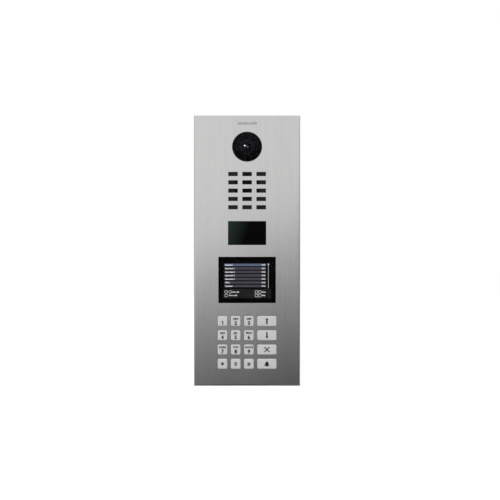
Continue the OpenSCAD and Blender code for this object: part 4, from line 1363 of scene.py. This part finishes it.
    def pill(self, bodies, metal, x, z, w, h, t):
        """A chip resistor or capacitor between its two soldered ends."""
        along = w > h
        end = 0.28 * max(w, h)
        reach = (max(w, h) - end) / 2
        body = (w - 2 * end, h - 0.06 * MM) if along else (w - 0.06 * MM, h - 2 * end)
        slab(bodies, x, z, *body, 0.05 * MM, t - 0.04 * MM)
        for way in (-1, 1):
            at_x, at_z = (x + way * reach, z) if along else (x, z + way * reach)
            size = (end, h) if along else (w, end)
            slab(metal, at_x, at_z, *size, 0.0, t, edge=0.08 * MM)


class INTERCOM_OT_wall_box(Maker):
    """Finish the wall box, the chassis and the fixings."""

    bl_idname = "intercom.wall_box"
    bl_label = "Wall box and chassis"

    TAB_W, TAB_T, TAB_R = 13 * MM, 0.6 * MM, 2.5 * MM
    REAR_GAP, MOUTH_GAP, END_GAP = 2.6 * MM, 12 * MM, 0.4 * MM
    WELD_R, WELD_H = 1.7 * MM, 0.22 * MM
    ARROW = ((-1.5, -9), (1.5, -9), (1.5, 2), (5, 2), (0, 9), (-5, 2), (-1.5, 2))
    ARROW_DROP, ARROW_H = 26 * MM, 0.4 * MM

    def execute(self, context):
        sheet = galvanised_sheet(self.colours.zinc)
        folded = ("back_box", "panel_hooks", "wall_brackets", "chassis_plate", "rear_cover")
        dress(sheet, *folded, edge=self.sizes.edge_r)
        dress(bpy.data.materials["plated_hardware"], "panel_studs", "stud_nuts", "security_screws")
        self.corner_laps(sheet)
        self.up_arrow(sheet)
        return {"FINISHED"}

    def corner_laps(self, sheet):
        """Spot-welded tabs that close the folded box at its four corners."""
        low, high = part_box("back_box")
        mouth, rear = low.y + self.MOUTH_GAP, high.y - self.REAR_GAP
        middle_y, depth = (rear + mouth) / 2, rear - mouth
        mesh = bmesh.new()
        for side, wall_x in ((-1, low.x), (1, high.x)):
            for end, end_z in ((-1, low.z), (1, high.z)):
                z = end_z - end * (self.TAB_W / 2 + self.END_GAP)
                self.tab(mesh, Vector((wall_x, middle_y, z)), side, depth)
                for i in (-1, 0, 1):
                    seat = Vector((wall_x + side * self.TAB_T, middle_y + i * depth * 0.3, z))
                    self.spot_weld(mesh, seat, side)
        piece("box_corner_laps", mesh, sheet)

    def tab(self, mesh, middle, side, depth):
        """A rounded tab that lies on a side wall, its outer rim broken."""
        rim = 0.15 * MM
        rings = []
        for inset, out in ((0.0, -0.1 * MM), (0.0, self.TAB_T - rim), (rim, self.TAB_T)):
            outline = rounded_outline(depth - 2 * inset, self.TAB_W - 2 * inset, self.TAB_R - inset, 5)
            rings.append([middle + Vector((side * out, y, z)) for y, z in outline])
        loft(mesh, rings)

    def spot_weld(self, mesh, middle, side):
        """The raised rim that a spot weld leaves round its dimple."""
        root, top = -0.05 * MM, self.WELD_H
        profile = ((1.0, root), (1.0, 0.0), (0.82, top), (0.68, top), (0.5, 0.0), (0.5, root))
        rings = []
        for share, out in profile:
            r = share * self.WELD_R
            rings.append([middle + Vector((side * out, r * y, r * z)) for y, z in circle(28)])
        loft(mesh, rings, closed=False)

    def up_arrow(self, sheet):
        """The embossed arrow that tells the fitter which end goes up."""
        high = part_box("back_box")[1]
        middle_z = high.z - self.ARROW_DROP
        outline = [(x * MM, middle_z + z * MM) for x, z in self.ARROW]
        mesh = bmesh.new()
        prism(mesh, outline, -high.y - self.ARROW_H, -high.y + 0.1 * MM)
        piece("up_arrow", mesh, sheet)


MAKERS = (
    INTERCOM_OT_studio,
    INTERCOM_OT_front,
    INTERCOM_OT_camera,
    INTERCOM_OT_speaker,
    INTERCOM_OT_windows,
    INTERCOM_OT_screen,
    INTERCOM_OT_keys,
    INTERCOM_OT_keypad,
    INTERCOM_OT_electronics,
    INTERCOM_OT_components,
    INTERCOM_OT_wall_box,
)
GROUPS = {
    "intercom_sizes": INTERCOM_PG_sizes,
    "intercom_colours": INTERCOM_PG_colours,
    "intercom_studio": INTERCOM_PG_studio,
}


class INTERCOM_PT_panel(bpy.types.Panel):
    """The makers and their settings, in the 3D view's sidebar."""

    bl_idname = "INTERCOM_PT_panel"
    bl_label = "Door intercom panel"
    bl_space_type = "VIEW_3D"
    bl_region_type = "UI"
    bl_category = "Intercom"

    def draw(self, context):
        for maker in MAKERS:
            self.layout.operator(maker.bl_idname)
        for group in GROUPS:
            box = self.layout.box()
            settings = getattr(context.scene, group)
            for name in settings.bl_rna.properties.keys():
                if name not in ("rna_type", "name"):
                    box.prop(settings, name)


CLASSES = (*GROUPS.values(), *MAKERS, INTERCOM_PT_panel)


def register():
    for made in CLASSES:
        bpy.utils.register_class(made)
    for name, group in GROUPS.items():
        setattr(bpy.types.Scene, name, PointerProperty(type=group))


def unregister():
    for name in GROUPS:
        delattr(bpy.types.Scene, name)
    for made in reversed(CLASSES):
        bpy.utils.unregister_class(made)


def main():
    register()
    for maker in MAKERS:
        family, name = maker.bl_idname.split(".")
        getattr(getattr(bpy.ops, family), name)()


if __name__ == "__main__":
    main()
